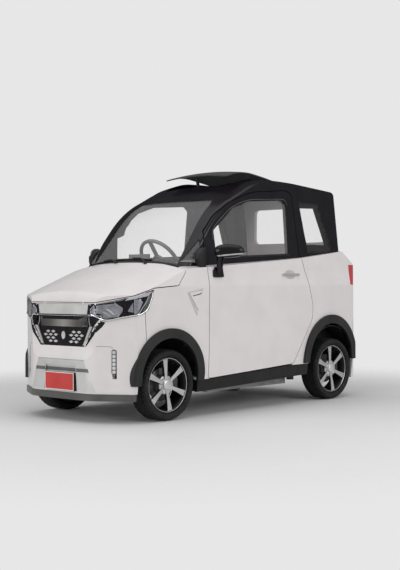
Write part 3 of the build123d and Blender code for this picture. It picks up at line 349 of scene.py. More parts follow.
def area_light(name, place, aim, size, power):
    data = bpy.data.lights.new(name, "AREA")
    data.shape = "RECTANGLE"
    data.size, data.size_y = size
    data.energy = power
    lamp = bpy.data.objects.new(name, data)
    lamp.location = place
    lamp.rotation_euler = (Vector(aim) - Vector(place)).to_track_quat("-Z", "Y").to_euler()
    scene.collection.objects.link(lamp)


area_light("key_over", (0.5, -1.0, 5.2), (0, 0, 0.8), (6.0, 6.0), 150)
area_light("left_side", (6.0, 0.5, 2.6), (0, 0, 0.8), (4.5, 2.6), 130)
area_light("front_fill", (-1.5, -6.5, 2.2), (0, 0, 0.7), (4.5, 2.2), 135)

# World: a weak grey light, seen as the photograph's pale backdrop by the camera and through glass
backdrop_grey = (0.80, 0.80, 0.80, 1)
world = bpy.data.worlds.new("studio")
scene.world = world
world.use_nodes = True
wt = world.node_tree
background = wt.nodes["Background"]
background.inputs["Color"].default_value = backdrop_grey
background.inputs["Strength"].default_value = 0.50
seen = wt.nodes.new("ShaderNodeBackground")
seen.inputs["Color"].default_value = backdrop_grey
seen.inputs["Strength"].default_value = 1.0
ray = wt.nodes.new("ShaderNodeLightPath")
direct = calc(wt, "MAXIMUM", ray.outputs["Is Camera Ray"], ray.outputs["Is Transmission Ray"])
wt.links.new(mix_shaders(wt, direct, background.outputs[0], seen.outputs[0]),
             wt.nodes["World Output"].inputs["Surface"])


def floor_material():
    """Pale studio floor that fades into the backdrop away from the car."""
    mat = plain("pale_floor", (0.66, 0.66, 0.66), (0.69, 0.69, 0.69), (0.6, 0.75), grain=60,
                depth=0.02, patch=0.6)
    tree = mat.node_tree
    length = tree.nodes.new("ShaderNodeVectorMath")
    length.operation = "LENGTH"
    tree.links.new(coords(tree), length.inputs[0])
    fade = tree.nodes.new("ShaderNodeMapRange")
    fade.interpolation_type = "SMOOTHSTEP"
    fade.inputs["From Min"].default_value = 1.6
    fade.inputs["From Max"].default_value = 4.2
    tree.links.new(length.outputs["Value"], fade.inputs["Value"])
    clear = tree.nodes.new("ShaderNodeBsdfTransparent")
    faded = mix_shaders(tree, fade.outputs["Result"], tree.nodes["Principled BSDF"].outputs[0],
                        clear.outputs[0])
    tree.links.new(faded, tree.nodes["Material Output"].inputs["Surface"])
    return mat


floor_half = 30
floor_mesh = bpy.data.meshes.new("floor")
floor_mesh.from_pydata([(x * floor_half, y * floor_half, 0) for x,
                        y in ((-1, -1), (1, -1), (1, 1), (-1, 1))],
                       [], [(0, 1, 2, 3)])
floor = bpy.data.objects.new("floor", floor_mesh)
floor.location = (0, 0, -0.001)
scene.collection.objects.link(floor)
floor_mesh.materials.append(floor_material())


# Mesh helpers
def make_object(name, mesh, mat, body, sharp=35):
    mesh.materials.append(mat)
    for polygon in mesh.polygons:
        polygon.use_smooth = True
    if sharp:
        mesh.set_sharp_from_angle(angle=math.radians(sharp))
    piece = bpy.data.objects.new(name, mesh)
    scene.collection.objects.link(piece)
    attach(piece, body)
    return piece


def from_bmesh(name, form, mat, body, sharp=35):
    bmesh.ops.recalc_face_normals(form, faces=form.faces[:])
    mesh = bpy.data.meshes.new(name)
    form.to_mesh(mesh)
    form.free()
    return make_object(name, mesh, mat, body, sharp)


def circle(count, shift=0.0):
    """Cosine and sine of evenly spaced angles, one pair for each point."""
    angles = [2 * math.pi * (k + shift) / count for k in range(count)]
    return [(math.cos(t), math.sin(t)) for t in angles]


def bend(value, power):
    """A power that keeps the sign, for sections between an oval and a box."""
    return math.copysign(abs(value) ** power, value)


def extrude(form, ring, offset):
    """A prism from a ring of points, pulled along an offset."""
    face = form.faces.new([form.verts.new(point) for point in ring])
    grown = bmesh.ops.extrude_face_region(form, geom=[face])["geom"]
    bmesh.ops.translate(form, verts=[g for g in grown if isinstance(g, bmesh.types.BMVert)],
                        vec=offset)


def caster(*names):
    """Search tree over the surfaces of CAD nodes at rest."""
    places, polygons = [], []
    for name in names:
        first = len(places)
        places += [v.co.copy() for v in nodes[name].data.vertices]
        polygons += [[first + i for i in p.vertices] for p in nodes[name].data.polygons]
    return BVHTree.FromPolygons(places, polygons)


# Ways to look along, each with the start of a ray for a place (a, b) on the picture plane. On the
# corner views a is measured along the bumper's corner and b is the height
half_root = math.sqrt(0.5)
views = {
    "front": (Vector((0, 1, 0)), lambda a, b: Vector((a, -3, b))),
    "rear": (Vector((0, -1, 0)), lambda a, b: Vector((a, 3, b))),
    "left": (Vector((-1, 0, 0)), lambda a, b: Vector((3, a, b))),
    "right": (Vector((1, 0, 0)), lambda a, b: Vector((-3, a, b))),
    "top": (Vector((0, 0, -1)), lambda a, b: Vector((a, b, 4))),
    "left_corner": (Vector((-1, 1, 0)).normalized(), lambda a,
                    b: Vector((a * half_root + 3, a * half_root - 3, b))),
    "right_corner": (Vector((1, 1, 0)).normalized(), lambda a,
                     b: Vector((-a * half_root - 3, a * half_root - 3, b))),
}


cut_rounds = 6


def drape(name, outline, view, surface, mat, body, stand=0.001, thick=0.003, fine=0.025):
    """A thin piece laid on the CAD surface; its outline is given as seen along the view."""
    way, start = views[view]
    form = bmesh.new()
    form.faces.new([form.verts.new((a, b, 0)) for a, b in outline])
    bmesh.ops.triangulate(form, faces=form.faces[:])
    for _ in range(cut_rounds):
        long = [e for e in form.edges if e.calc_length() > fine]
        if not long:
            break
        bmesh.ops.subdivide_edges(form, edges=long, cuts=1)
        bmesh.ops.triangulate(form, faces=form.faces[:])
    depth = {}
    for vert in form.verts:
        hit = surface.ray_cast(start(vert.co.x, vert.co.y), way)[0]
        if hit is not None:
            depth[vert] = (hit - start(vert.co.x, vert.co.y)).dot(way)
    left = [v for v in form.verts if v not in depth]
    while left and depth:
        found = {}
        for vert in left:
            near = [depth[e.other_vert(vert)] for e in vert.link_edges
                    if e.other_vert(vert) in depth]
            if near:
                found[vert] = sum(near) / len(near)
        depth.update(found)
        left = [v for v in left if v not in depth]
    index = {v: i for i, v in enumerate(form.verts)}
    tops = [start(v.co.x, v.co.y) + way * (depth[v] - stand) for v in form.verts]
    lows = [place + way * thick for place in tops]
    count = len(tops)
    faces = [[index[v] for v in f.verts] for f in form.faces]
    walls = []
    for edge in form.edges:
        if len(edge.link_faces) == 1:
            i, j = index[edge.verts[0]], index[edge.verts[1]]
            walls.append([i, j, j + count, i + count])
    form.free()
    mesh = bpy.data.meshes.new(name)
    mesh.from_pydata(tops + lows, [],
                     faces + [[i + count for i in reversed(f)] for f in faces] + walls)
    solid = bmesh.new()
    solid.from_mesh(mesh)
    bpy.data.meshes.remove(mesh)
    return from_bmesh(name, solid, mat, body)


def ribbon(points, width):
    """Outline of a flat strip of one width along a line of points."""
    near, far = [], []
    for i, point in enumerate(points):
        along = (Vector(points[min(i + 1, len(points) - 1)]) - Vector(points[max(i - 1,
                                                                                 0)])).normalized()
        side = Vector((-along.y, along.x)) * width / 2
        near.append(tuple(Vector(point) + side))
        far.append(tuple(Vector(point) - side))
    return near + far[::-1]


def smooth_line(points, steps=6):
    """Points of a curve through the given points."""
    pts = [Vector(p) for p in points]
    pts = [pts[0] * 2 - pts[1]] + pts + [pts[-1] * 2 - pts[-2]]
    line = []
    for a, b, c, d in zip(pts, pts[1:], pts[2:], pts[3:]):
        for step in range(steps):
            t = step / steps
            line.append(((2 * b) + (c - a) * t + (2 * a - 5 * b + 4 * c - d) * t * t
                         + (3 * b - a - 3 * c + d) * t ** 3) / 2)
    return line + [pts[-2]]


def tube(name, points, radius, mat, body, sides=10, flat=1.0):
    """A round rod along 3-D points; flat squeezes its section."""
    pts = [Vector(p) for p in points]
    form = bmesh.new()
    normal = None
    rings = []
    for i, point in enumerate(pts):
        along = (pts[min(i + 1, len(pts) - 1)] - pts[max(i - 1, 0)]).normalized()
        if normal is None:
            normal = along.orthogonal().normalized()
        normal = (normal - along * normal.dot(along)).normalized()
        across = along.cross(normal)
        rings.append([form.verts.new(point + (normal * c + across * s * flat) * radius) for c,
                      s in circle(sides)])
    for low, high in zip(rings, rings[1:]):
        for k in range(sides):
            form.faces.new((low[k], low[(k + 1) % sides], high[(k + 1) % sides], high[k]))
    form.faces.new(rings[0])
    form.faces.new(rings[-1][::-1])
    return from_bmesh(name, form, mat, body, 50)


def slab(name, low, high, mat, body, edge):
    """A box with rounded edges between two corners."""
    form = bmesh.new()
    bmesh.ops.create_cube(form, size=1)
    low, high = Vector(low), Vector(high)
    middle = (low + high) / 2
    for vert in form.verts:
        vert.co = Vector(a * b for a, b in zip(vert.co, high - low)) + middle
    bmesh.ops.bevel(form, geom=form.edges[:], offset=edge, segments=3, profile=0.5, affect="EDGES")
    return from_bmesh(name, form, mat, body)


def turned(name, rings, centre, mat, body, count=64, sharp=35, lift=None):
    """A form turned about X, from (offset along X, radius) pairs; lift changes single radii."""
    form = bmesh.new()
    rows = []
    for k, (c, s) in enumerate(circle(count)):
        row = []
        for i, (x, radius) in enumerate(rings):
            r = radius + (lift(k, i) if lift else 0)
            row.append(form.verts.new((centre[0] + x, centre[1] + r * s, centre[2] + r * c)))
        rows.append(row)
    for k in range(count):
        row, after = rows[k], rows[(k + 1) % count]
        for i in range(len(rings) - 1):
            form.faces.new((row[i], after[i], after[i + 1], row[i + 1]))
    closed_ends = [i for i in (0, len(rings) - 1) if rings[i][1] > 0.0005]
    for i in closed_ends if rings[0] != rings[-1] else []:
        form.faces.new([row[i] for row in rows])
    bmesh.ops.remove_doubles(form, verts=form.verts[:], dist=0.00001)
    return from_bmesh(name, form, mat, body, sharp)


# Finishes used only by added pieces; the dark satin also serves as a painted shadow, and the crease
# grey and the handle cup tone are painted shade
reflector = plain("lamp_reflector", (0.30, 0.30, 0.33), (0.46, 0.45, 0.48), (0.22, 0.32), metal=0.6,
                  patch=12)
pale_plastic = plain("lamp_bar", (0.55, 0.54, 0.57), (0.66, 0.65, 0.68), (0.2, 0.3), coat=0.6)
# Dark satin grey for trim pieces, also laid on the bumper as a painted shadow
shade_grey = plain("dark_satin_and_painted_shadow", (0.10, 0.10, 0.098), (0.15, 0.15, 0.147), (0.35, 0.5), metal=0.3,
                   grain=900)
# Darker grey for the lines along the bumper's creases: painted shade
crease_shade_grey = plain("crease_painted_shade", (0.18, 0.17, 0.17), (0.24, 0.23, 0.23), (0.5, 0.65))
screen_mat = plain("display_glass", (0.010, 0.011, 0.013), (0.02, 0.021, 0.024), (0.08, 0.14),
                   coat=0.8)
# A slightly darker paint tone for the handle cups: painted shade in the recess
cup_shade = plain("handle_cup_painted_shade", (0.46, 0.43, 0.435), (0.50, 0.47, 0.475), (0.35, 0.45),
                  coat=0.5)

# Headlamps: black well, grey reflectors and chrome strips under a clear cover, chrome surround
front_skin = caster("headlamp_lenses", "headlamp_housings", "front_bumper", "front_fenders",
                    "grille_band", "grille",
                    "grille_bars", "bumper_lip", "lower_insert", "daytime_lamps", "arch_trims")
lamp_edge = [(-0.741, 0.779), (-0.706, 0.787), (-0.565, 0.815), (-0.507, 0.827), (-0.425, 0.851),
             (-0.3097, 0.882),
             (-0.318, 0.830), (-0.3458, 0.751), (-0.378, 0.724), (-0.4158, 0.713), (-0.52, 0.696),
             (-0.6286, 0.676),
             (-0.7361, 0.713)]
# Name, outline (corner, height), surface, slot, stand off the skin
lamp_parts = [
    ("well", lamp_edge, black_gloss, "black_gloss", 0.0008),
    ("inner_bowl",
     [(-0.7325, 0.735), (-0.7064, 0.778), (-0.64, 0.787), (-0.565, 0.793), (-0.5162, 0.758),
      (-0.5487, 0.706), (-0.6237, 0.693), (-0.7007, 0.714)], reflector, "lamp_housing", 0.0016),
    ("bowl_step_a", [(-0.66, 0.742), (-0.625, 0.738), (-0.585, 0.712), (-0.612, 0.708)], chrome,
     "chrome", 0.0022),
    ("bowl_step_b", [(-0.632, 0.762), (-0.605, 0.757), (-0.562, 0.720), (-0.578, 0.718)],
     pale_plastic, "lamp_clear", 0.0022),
    ("bowl_edge",
     ribbon([(-0.572, 0.800), (-0.5162, 0.762), (-0.5200, 0.742), (-0.5487, 0.704)], 0.005), chrome,
     "chrome", 0.0024),
    ("prism", [(-0.481, 0.742), (-0.446, 0.797), (-0.444, 0.735)], reflector, "lamp_housing",
     0.0016),
    ("prism_edge", ribbon([(-0.481, 0.742), (-0.446, 0.797)], 0.003), chrome, "chrome", 0.0024),
    ("outer_bowl",
     [(-0.4363, 0.820), (-0.3988, 0.826), (-0.3825, 0.801), (-0.4179, 0.726), (-0.4341, 0.726)],
     reflector, "lamp_housing", 0.0016),
    ("outer_bowl_edge", ribbon([(-0.4363, 0.822), (-0.4350, 0.726)], 0.007), chrome, "chrome",
     0.0024),
    ("slant_strip", ribbon([(-0.342, 0.842), (-0.362, 0.800), (-0.4120, 0.722)], 0.008), chrome,
     "chrome", 0.0024),
    ("tail_facet", [(-0.334, 0.850), (-0.316, 0.868), (-0.350, 0.757), (-0.394, 0.722)], shade_grey,
     "lamp_housing", 0.0016),
    ("top_bar",
     [(-0.502, 0.812), (-0.478, 0.829), (-0.400, 0.850), (-0.3182, 0.874), (-0.345, 0.843),
      (-0.4363, 0.823)],
     pale_plastic, "lamp_clear", 0.0020),
    ("brow_strip", ribbon([(-0.700, 0.789), (-0.565, 0.809), (-0.505, 0.821)], 0.004), chrome,
     "chrome", 0.0020),
    ("inner_edge", ribbon([(-0.709, 0.781), (-0.7325, 0.752), (-0.731, 0.724)], 0.005),
     pale_plastic, "lamp_clear", 0.0024),
    ("cover", lamp_edge, lamp_clear, "lamp_clear", 0.0050),
]
surround_stand, surround_jump = 0.005, 0.06
for hand in ("left", "right"):
    for part, outline, mat, slot, stand in lamp_parts:
        drape(f"headlamp_{hand}_{part}", outline, f"{hand}_corner", front_skin, mat, "body",
              stand, 0.0012)
    way, start = views[f"{hand}_corner"]
    line = []
    for a, b in smooth_line([(-0.7290, 0.722), (-0.6286, 0.684), (-0.52, 0.702), (-0.4180, 0.719),
                             (-0.380, 0.732),
                             (-0.3510, 0.760), (-0.3245, 0.832), (-0.3170, 0.868)], 5):
        hit = front_skin.ray_cast(start(a, b), way)[0]
        if hit is None:
            continue
        point = hit - way * surround_stand
        if not line or (point - line[-1]).length < surround_jump:
            line.append(point)
    tube(f"headlamp_{hand}_surround", line, 0.0042, chrome, "body")

# Grille: end wedges and strips, a plain oval boss, the satin upper panel with a painted highlight
# in its middle, and the brow over it
wedge_skin = caster("front_bumper", "grille", "grille_band", "front_fenders", "headlamp_housings")
for hand, mirror in (("left", 1), ("right", -1)):
    for part, outline, mat, slot, stand in (
            ("wedge",
             [(0.277, 0.712), (0.391, 0.669), (0.372, 0.640), (0.237, 0.505), (0.214, 0.503),
              (0.330, 0.665)],
             black_gloss, "black_gloss", 0.0012),
            ("lamp_gap", [(0.262, 0.786), (0.290, 0.786), (0.276, 0.722), (0.250, 0.722)],
             black_gloss, "black_gloss", 0.0014),
            ("bar_end", ribbon([(0.258, 0.700), (0.262, 0.668), (0.272, 0.642)], 0.006), chrome,
             "chrome", 0.002),
    ):
        drape(f"grille_{hand}_{part}", [(mirror * x, z) for x, z in outline], "front", wedge_skin,
              mat, "body", stand)
boss_z = 0.577
oval = [(0.019 * c, boss_z + 0.027 * s) for c, s in circle(28)]
drape("grille_boss", oval, "front", front_skin, cell_chrome, "body", 0.006, 0.006, 0.012)
# The upper panel's colour is light in the middle and darker towards its ends: a painted highlight
satin_bar_painted_highlight = plain("satin_bar_painted_highlight", (0.2, 0.2, 0.2), (0.3, 0.3, 0.3), (0.3, 0.4), metal=0.5, grain=1200,
                  depth=0.05)
sideways = calc(satin_bar_painted_highlight.node_tree, "ABSOLUTE", axis_values(satin_bar_painted_highlight)[0], 0)
centre_highlight_colour = ramp(satin_bar_painted_highlight.node_tree, sideways,
               [(0.0, (0.34, 0.325, 0.31)), (0.13, (0.11, 0.105, 0.10)),
                (0.26, (0.04, 0.04, 0.04))])
satin_bar_painted_highlight.node_tree.links.new(centre_highlight_colour,
                              satin_bar_painted_highlight.node_tree.nodes["Principled BSDF"].inputs["Base Color"])
drape("grille_upper",
      [(-0.240, 0.704), (-0.212, 0.684), (0.158, 0.684), (0.229, 0.707), (0.248, 0.707),
       (0.250, 0.636),
       (-0.238, 0.636)], "front", front_skin, satin_bar_painted_highlight, "body", 0.0026)
drape("grille_brow", ribbon([(-0.262, 0.7155), (0, 0.7165), (0.262, 0.7155)], 0.007), "front",
      front_skin, black_gloss,
      "body", 0.0014)
drape("grille_boss_back", ribbon([(0, 0.524), (0, 0.632)], 0.05), "front", front_skin, black_gloss,
      "body", 0.0012)

# Lower bumper: painted shadow under the insert's step, bright lip of the insert, daytime lamp wells
# with their cells, creases darkened with painted shade
# A dark grey band where the insert's step throws its shadow: painted shadow
drape("insert_step_painted_shadow", [(-0.262, 0.360), (0.272, 0.360), (0.281, 0.337), (-0.270, 0.337)], "front",
      caster("lower_insert"), shade_grey, "body", 0.0015, 0.012, 0.012)
drape("insert_lip", ribbon([(-0.243, 0.416), (0, 0.4165), (0.238, 0.416)], 0.005), "front",
      caster("lower_insert"), chrome, "body", 0.0012)
cell_count, cell_pitch, first_cell_z = 6, 0.0258, 0.474
for hand in ("left", "right"):
    corner = f"{hand}_corner"
    drape(f"drl_{hand}_well",
          [(-0.590, 0.486), (-0.575, 0.494), (-0.560, 0.486), (-0.562, 0.352), (-0.578, 0.308),
           (-0.592, 0.340)], corner, front_skin, shade_grey, "body", 0.0012)
    for k in range(cell_count):
        z = first_cell_z - cell_pitch * k
        cell = [(-0.586, z - 0.008), (-0.580, z - 0.0115), (-0.568, z - 0.0115),
                (-0.5635, z - 0.007),
                (-0.5635, z + 0.006), (-0.569, z + 0.0095), (-0.581, z + 0.0095),
                (-0.586, z + 0.005)]
        drape(f"drl_{hand}_cell_{k}", cell, corner, front_skin, pale_plastic, "body",
              0.004, 0.004, 0.008)
    # A darker line along the bumper's crease: painted shade
    drape(f"bumper_{hand}_crease",
          ribbon([(-0.694, 0.512), (-0.640, 0.5115), (-0.592, 0.509), (-0.581, 0.500)], 0.0028),
          corner, front_skin, crease_shade_grey, "body", 0.0006)

# Tyres with sidewall steps, four ring grooves and shoulder blocks: (offset from the middle, radius)
half_tread = [(0, 0.2397), (0.0130, 0.2397), (0.0140, 0.2330), (0.0190, 0.2330), (0.0200, 0.2396),
              (0.0365, 0.2394),
              (0.0375, 0.2330), (0.0425, 0.2330), (0.0435, 0.2392), (0.0560, 0.2386),
              (0.0625, 0.2372)]
half_wall = [(0.0690, 0.2325), (0.0738, 0.2268), (0.0752, 0.2262), (0.0768, 0.2150),
             (0.0762, 0.2060), (0.0748, 0.2052),
             (0.0728, 0.2010), (0.0640, 0.1935), (0.0605, 0.1925), (0.0560, 0.1890),
             (0.0545, 0.1835)]
half_ring = half_tread + half_wall
tyre_rings = [(-x, r) for x, r in reversed(half_ring)] + half_ring[1:]
tyre_rings.append(tyre_rings[0])


def tread_blocks(k, i):
    """Shoulder cuts and offset cuts in the two rings beside the middle rib."""
    x, radius = tyre_rings[i]
    if 0.0430 < abs(x) < 0.0700 and k % 5 == (0 if x > 0 else 2):
        return -0.0050
    if 0.0195 < abs(x) < 0.0370 and radius > 0.236 and k % 10 == (3 if x > 0 else 8):
        return -0.0040
    return 0


spoke_count, first_spoke_deg = 6, -7
nut_count = 4


def wheel_spokes(place, centre, side, body):
    """Six tapered spokes: silver faces with black sides, between the hub and the rim."""
    # Radius, half width, height of the face along the axle
    stations = [(0.034, 0.0185, 0.044), (0.048, 0.0150, 0.046), (0.066, 0.0135, 0.048),
                (0.095, 0.0152, 0.051),
                (0.125, 0.0178, 0.053), (0.150, 0.0202, 0.0545), (0.163, 0.0215, 0.055),
                (0.171, 0.0228, 0.055),
                (0.175, 0.0240, 0.055)]
    form = bmesh.new()
    for k in range(spoke_count):
        angle = math.radians(first_spoke_deg + 360 / spoke_count * k) * side
        rise = Vector((0, math.sin(angle), math.cos(angle)))
        flat = Vector((0, math.cos(angle), -math.sin(angle)))
        out = Vector((side, 0, 0))
        rows = []
        for radius, half, face in stations:
            # Up one side over its bevel, across the face, and down the other side
            section = [(-half, face - 0.018), (-half, face - 0.0025), (-half + 0.0018, face),
                       (half - 0.0018, face),
                       (half, face - 0.0025), (half, face - 0.018)]
            rows.append([form.verts.new(Vector(centre) + rise * radius + flat * w + out * a) for w,
                         a in section])
        corners = len(rows[0])
        for low, high in zip(rows, rows[1:]):
            for i in range(corners):
                after = (i + 1) % corners
                strip = form.faces.new((low[i], low[after], high[after], high[i]))
                strip.material_index = 0 if i == 2 else 1
        for end in (rows[0], rows[-1]):
            form.faces.new(end).material_index = 1
    piece = from_bmesh(f"wheel_{place}_spokes", form, alloy, body)
    piece.data.materials.append(wheel_black)
    return piece


def own_wheel(place, centre, side):
    """An alloy wheel in place of the CAD one, from (offset outwards, radius) rings."""
    body = f"wheel_{place}"

    def ringed(part, rings, mat, count, sharp=35, middle=centre):
        return turned(f"{body}_{part}", [(side * x, r) for x, r in rings], middle, mat, body,
                      count, sharp)

    def off_axle(radius, angle):
        return centre[0], centre[1] + radius * math.sin(angle), centre[2] + radius * math.cos(angle)

    barrel = ringed("barrel",
                    [(-0.0590, 0.1650), (-0.0590, 0.1815), (-0.0550, 0.1815), (-0.0500, 0.1720),
                     (0.0500, 0.1720), (0.0550, 0.1815), (0.0572, 0.1815), (0.0572, 0.1785),
                     (0.0540, 0.1765), (0.0440, 0.1690), (0.0000, 0.1640), (-0.0590, 0.1650)],
                    wheel_black, 72)
    lip = ringed("lip",
                 [(0.0560, 0.1782), (0.0588, 0.1786), (0.0598, 0.1800), (0.0598, 0.1818),
                  (0.0560, 0.1818),
                  (0.0560, 0.1782)], alloy, 96)
    hub = ringed("hub",
                 [(0.0000, 0.0), (0.0000, 0.070), (0.0380, 0.066), (0.0425, 0.062), (0.0440, 0.040),
                  (0.0440, 0.0)], alloy, 48)
    disc = ringed("disc", [(-0.0080, 0.0), (-0.0080, 0.110), (-0.0090, 0.1115), (-0.0170, 0.1115),
                           (-0.0180, 0.110), (-0.0180, 0.0)], disc_steel, 64)
    for part in (barrel, lip, hub, disc, wheel_spokes(place, centre, side, body)):
        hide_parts(body)
    ringed("cap",
           [(0.0430, 0.034), (0.0500, 0.034), (0.0535, 0.0325), (0.0560, 0.028), (0.0572, 0.018),
            (0.0576, 0.0)], silver, 40)
    for k in range(nut_count):
        nut = off_axle(0.051, math.pi / 4 + 2 * math.pi / nut_count * k)
        ringed(f"nut_{k}", [(0.0400, 0.0092), (0.0500, 0.0092), (0.0530, 0.0072), (0.0535, 0.0)],
               chrome,
               6, 30, nut)
    ringed("valve", [(0.010, 0.004), (0.040, 0.004), (0.041, 0.0)], rubber, 10,
           middle=off_axle(0.158, 0.42))


for place in ("fl", "fr", "rl", "rr"):
    low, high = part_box(f"tyre_{place}")
    centre = tuple((a + b) / 2 for a, b in zip(low, high))
    tread = turned(f"tyre_{place}_tread", tyre_rings, centre, rubber, f"wheel_{place}", 240,
                   28, tread_blocks)
    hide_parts(f"tyre_{place}")
    own_wheel(place, centre, 1 if centre[0] > 0 else -1)


def mirror_shell():
    """Gloss black shell with a silver strip low on its face."""
    mat, tree, bsdf = new_material("mirror_shell")
    x, _, z = axis_values(mat)
    strip_z, strip_half, slope = 1.0415, 0.0045, -0.11
    rise = calc(tree, "MULTIPLY_ADD", calc(tree, "ABSOLUTE", x), slope, z)
    band = calc(tree, "COMPARE", rise, strip_z, strip_half)
    dark = ramp(tree, noise(tree, 8), [(0.3, (0.006, 0.006, 0.007)), (0.7, (0.011, 0.011, 0.012))])
    pale = ramp(tree, noise(tree, 30), [(0.3, (0.55, 0.55, 0.56)), (0.7, (0.68, 0.68, 0.69))])
    mix = mix_colours(tree, band, dark)
    tree.links.new(pale, mix.inputs["B"])
    tree.links.new(mix.outputs["Result"], bsdf.inputs["Base Color"])
    tree.links.new(band, bsdf.inputs["Metallic"])
    bsdf.inputs["Specular IOR Level"].default_value = 0.2
    tree.links.new(spread(tree, noise(tree, 20), 0.12, 0.2), bsdf.inputs["Roughness"])
    bump(tree, bsdf, noise(tree, 900, 2), 0.02, 0.0004)
    return mat


# Door mirrors: a swept shell with a flat glass, a forked arm and a round-cornered foot on the door
shell_mat = mirror_shell()
shell_rows, shell_sides = 33, 32
for hand, side in (("left", 1), ("right", -1)):
    door = f"door_{hand}"
    inner, outer = Vector((side * 0.606, -0.458, 1.145)), Vector((side * 0.783, -0.334, 1.147))
    length = (outer - inner).length
    along = (outer - inner).normalized()
    forward = Vector((0, 0, 1)).cross(along) * side
    forward = forward if forward.y < 0 else -forward
    form = bmesh.new()
    rows = []
    for i in range(shell_rows):
        u = math.sin((-1 + 2 * i / (shell_rows - 1)) * math.pi / 2)
        size = max(1 - abs(u) ** 3.2, 0) ** 0.5
        row = []
        for c, s in circle(shell_sides):
            deep = max(bend(c, 0.8) * 0.046 * size, -0.016)
            tall = bend(s, 0.75) * (0.051 if s > 0 else 0.046) * size * (1 - 0.10 * max(u, 0))
            row.append(form.verts.new(inner + along * length * (u + 1) / 2 + forward * deep
                                      + Vector((0, 0, tall))))
        rows.append(row)
    for a, b in zip(rows, rows[1:]):
        for k in range(shell_sides):
            after = (k + 1) % shell_sides
            form.faces.new((a[k], a[after], b[after], b[k]))
    bmesh.ops.remove_doubles(form, verts=form.verts[:], dist=0.0002)
    shell = from_bmesh(f"mirror_{hand}_shell", form, shell_mat, door, 60)
    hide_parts(f"{door}_mirror")
    pane = bmesh.new()
    middle = (inner + outer) / 2 - forward * 0.0162
    extrude(pane,
            [middle + along * bend(c, 0.6) * length * 0.44 + Vector((0, 0, bend(s, 0.7) * 0.036))
             for c, s in circle(40)], -forward * 0.0015)
    from_bmesh(f"mirror_{hand}_glass", pane, chrome, door)
    tube(f"mirror_{hand}_arm", [(side * x, y, z) for x, y, z in (
        (0.604, -0.405, 1.000), (0.612, -0.412, 1.030), (0.626, -0.425, 1.070),
        (0.640, -0.432, 1.110))],
         0.017, black_gloss, door, 14, flat=0.7)
    tube(f"mirror_{hand}_prong", [(side * x, y, z) for x, y, z in (
        (0.606, -0.385, 1.015), (0.622, -0.390, 1.055), (0.655, -0.408, 1.104))],
        0.009, black_gloss, door)
    drape(f"mirror_{hand}_foot",
          [(-0.452, 0.972), (-0.446, 0.966), (-0.360, 0.966), (-0.352, 0.974), (-0.356, 1.030),
           (-0.372, 1.042), (-0.425, 1.036), (-0.448, 1.012)], hand, caster(f"{door}_panel"),
          black_gloss, door, 0.014, 0.016)
    # Cover at the foot of the windscreen pillar
    low_x, high_x = sorted((side * 0.530, side * 0.580))
    pod = bmesh.new()
    extrude(pod, [(low_x, y, z) for y, z in (
        (-0.540, 1.166), (-0.506, 1.176), (-0.501, 1.100), (-0.503, 1.034), (-0.560, 1.032),
        (-0.580, 1.092),
        (-0.580, 1.130))], (high_x - low_x, 0, 0))
    bmesh.ops.bevel(pod, geom=pod.edges[:], offset=0.007, segments=3, profile=0.5, affect="EDGES")
    from_bmesh(f"pillar_cover_{hand}", pod, trim_black, "body")

# Sides: door glass line, belt rubber, handle cup darkened by painted shade and grip, quarter window
# border, wing ornament
handle_z = 0.986
for hand in ("left", "right"):
    door = f"door_{hand}"
    skin = caster(f"{door}_frame", f"{door}_glass", f"{door}_panel")
    panel_skin = caster(f"{door}_panel")
    drape(f"window_{hand}_line", ribbon(smooth_line([
        (-0.374, 1.230), (-0.373, 1.302), (-0.290, 1.382), (-0.150, 1.478), (0.030, 1.535),
        (0.220, 1.549),
        (0.405, 1.559), (0.450, 1.546), (0.464, 1.515)]), 0.0032), hand, skin, shade_grey, door,
          0.0012, 0.0025)
    drape(f"belt_{hand}_rubber", ribbon([(-0.350, 1.108), (0.0, 1.120), (0.442, 1.139)], 0.014),
          hand, skin,
          trim_black, door, 0.006, 0.007)
    # The cup's darker tone is painted shade in the recess behind the grip
    cup = [(0.415 + 0.066 * c, handle_z + 0.034 * s) for c, s in circle(36)]
    drape(f"handle_{hand}_cup", cup, hand, panel_skin, cup_shade, door, 0.0012, 0.002)
    bar = [(0.420 + math.copysign(0.098, c) + 0.0095 * c, handle_z + 0.0095 * s) for c,
           s in circle(24, 0.5)]
    grip = drape(f"handle_{hand}_grip", bar, hand, panel_skin, chrome, door, 0.010,
                 0.0085)
    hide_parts(f"{door}_handle")
    outer = [(0.609, 1.548), (0.854, 1.543), (0.998, 1.203), (0.984, 1.160), (0.680, 1.156)]
    inner = [(0.622, 1.500), (0.800, 1.505), (0.918, 1.226), (0.905, 1.221), (0.684, 1.219)]
    drape(f"quarter_{hand}_border", outer + [outer[0], inner[0]] + inner[:0:-1] + [inner[0]], hand,
          caster("side_glass", "cabin_frame"), trim_grey, "body", 0.0012, 0.0024)
    vent_skin = caster("fender_vents", "front_fenders")
    drape(f"vent_{hand}_face", [(-0.700, 0.857), (-0.578, 0.870), (-0.614, 0.740)], hand, vent_skin,
          paint, "body",
          0.004, 0.005)
    drape(f"vent_{hand}_slot", ribbon([(-0.668, 0.838), (-0.600, 0.850), (-0.586, 0.858)], 0.006),
          hand, vent_skin,
          trim_grey, "body", 0.0048, 0.004)

# Wipers: pivot caps, arms and blades at the foot of the windscreen
screen = caster("windshield", "cabin_frame", "cowl", "hood")
screen_normal = Vector((0, -0.5, 0.86))


def on_screen(x, y, stand):
    """The place above (x, y) that stands off the windscreen or the scuttle."""
    hit = screen.ray_cast(Vector((x, y, 4)), Vector((0, 0, -1)))[0]
    return hit + screen_normal * stand


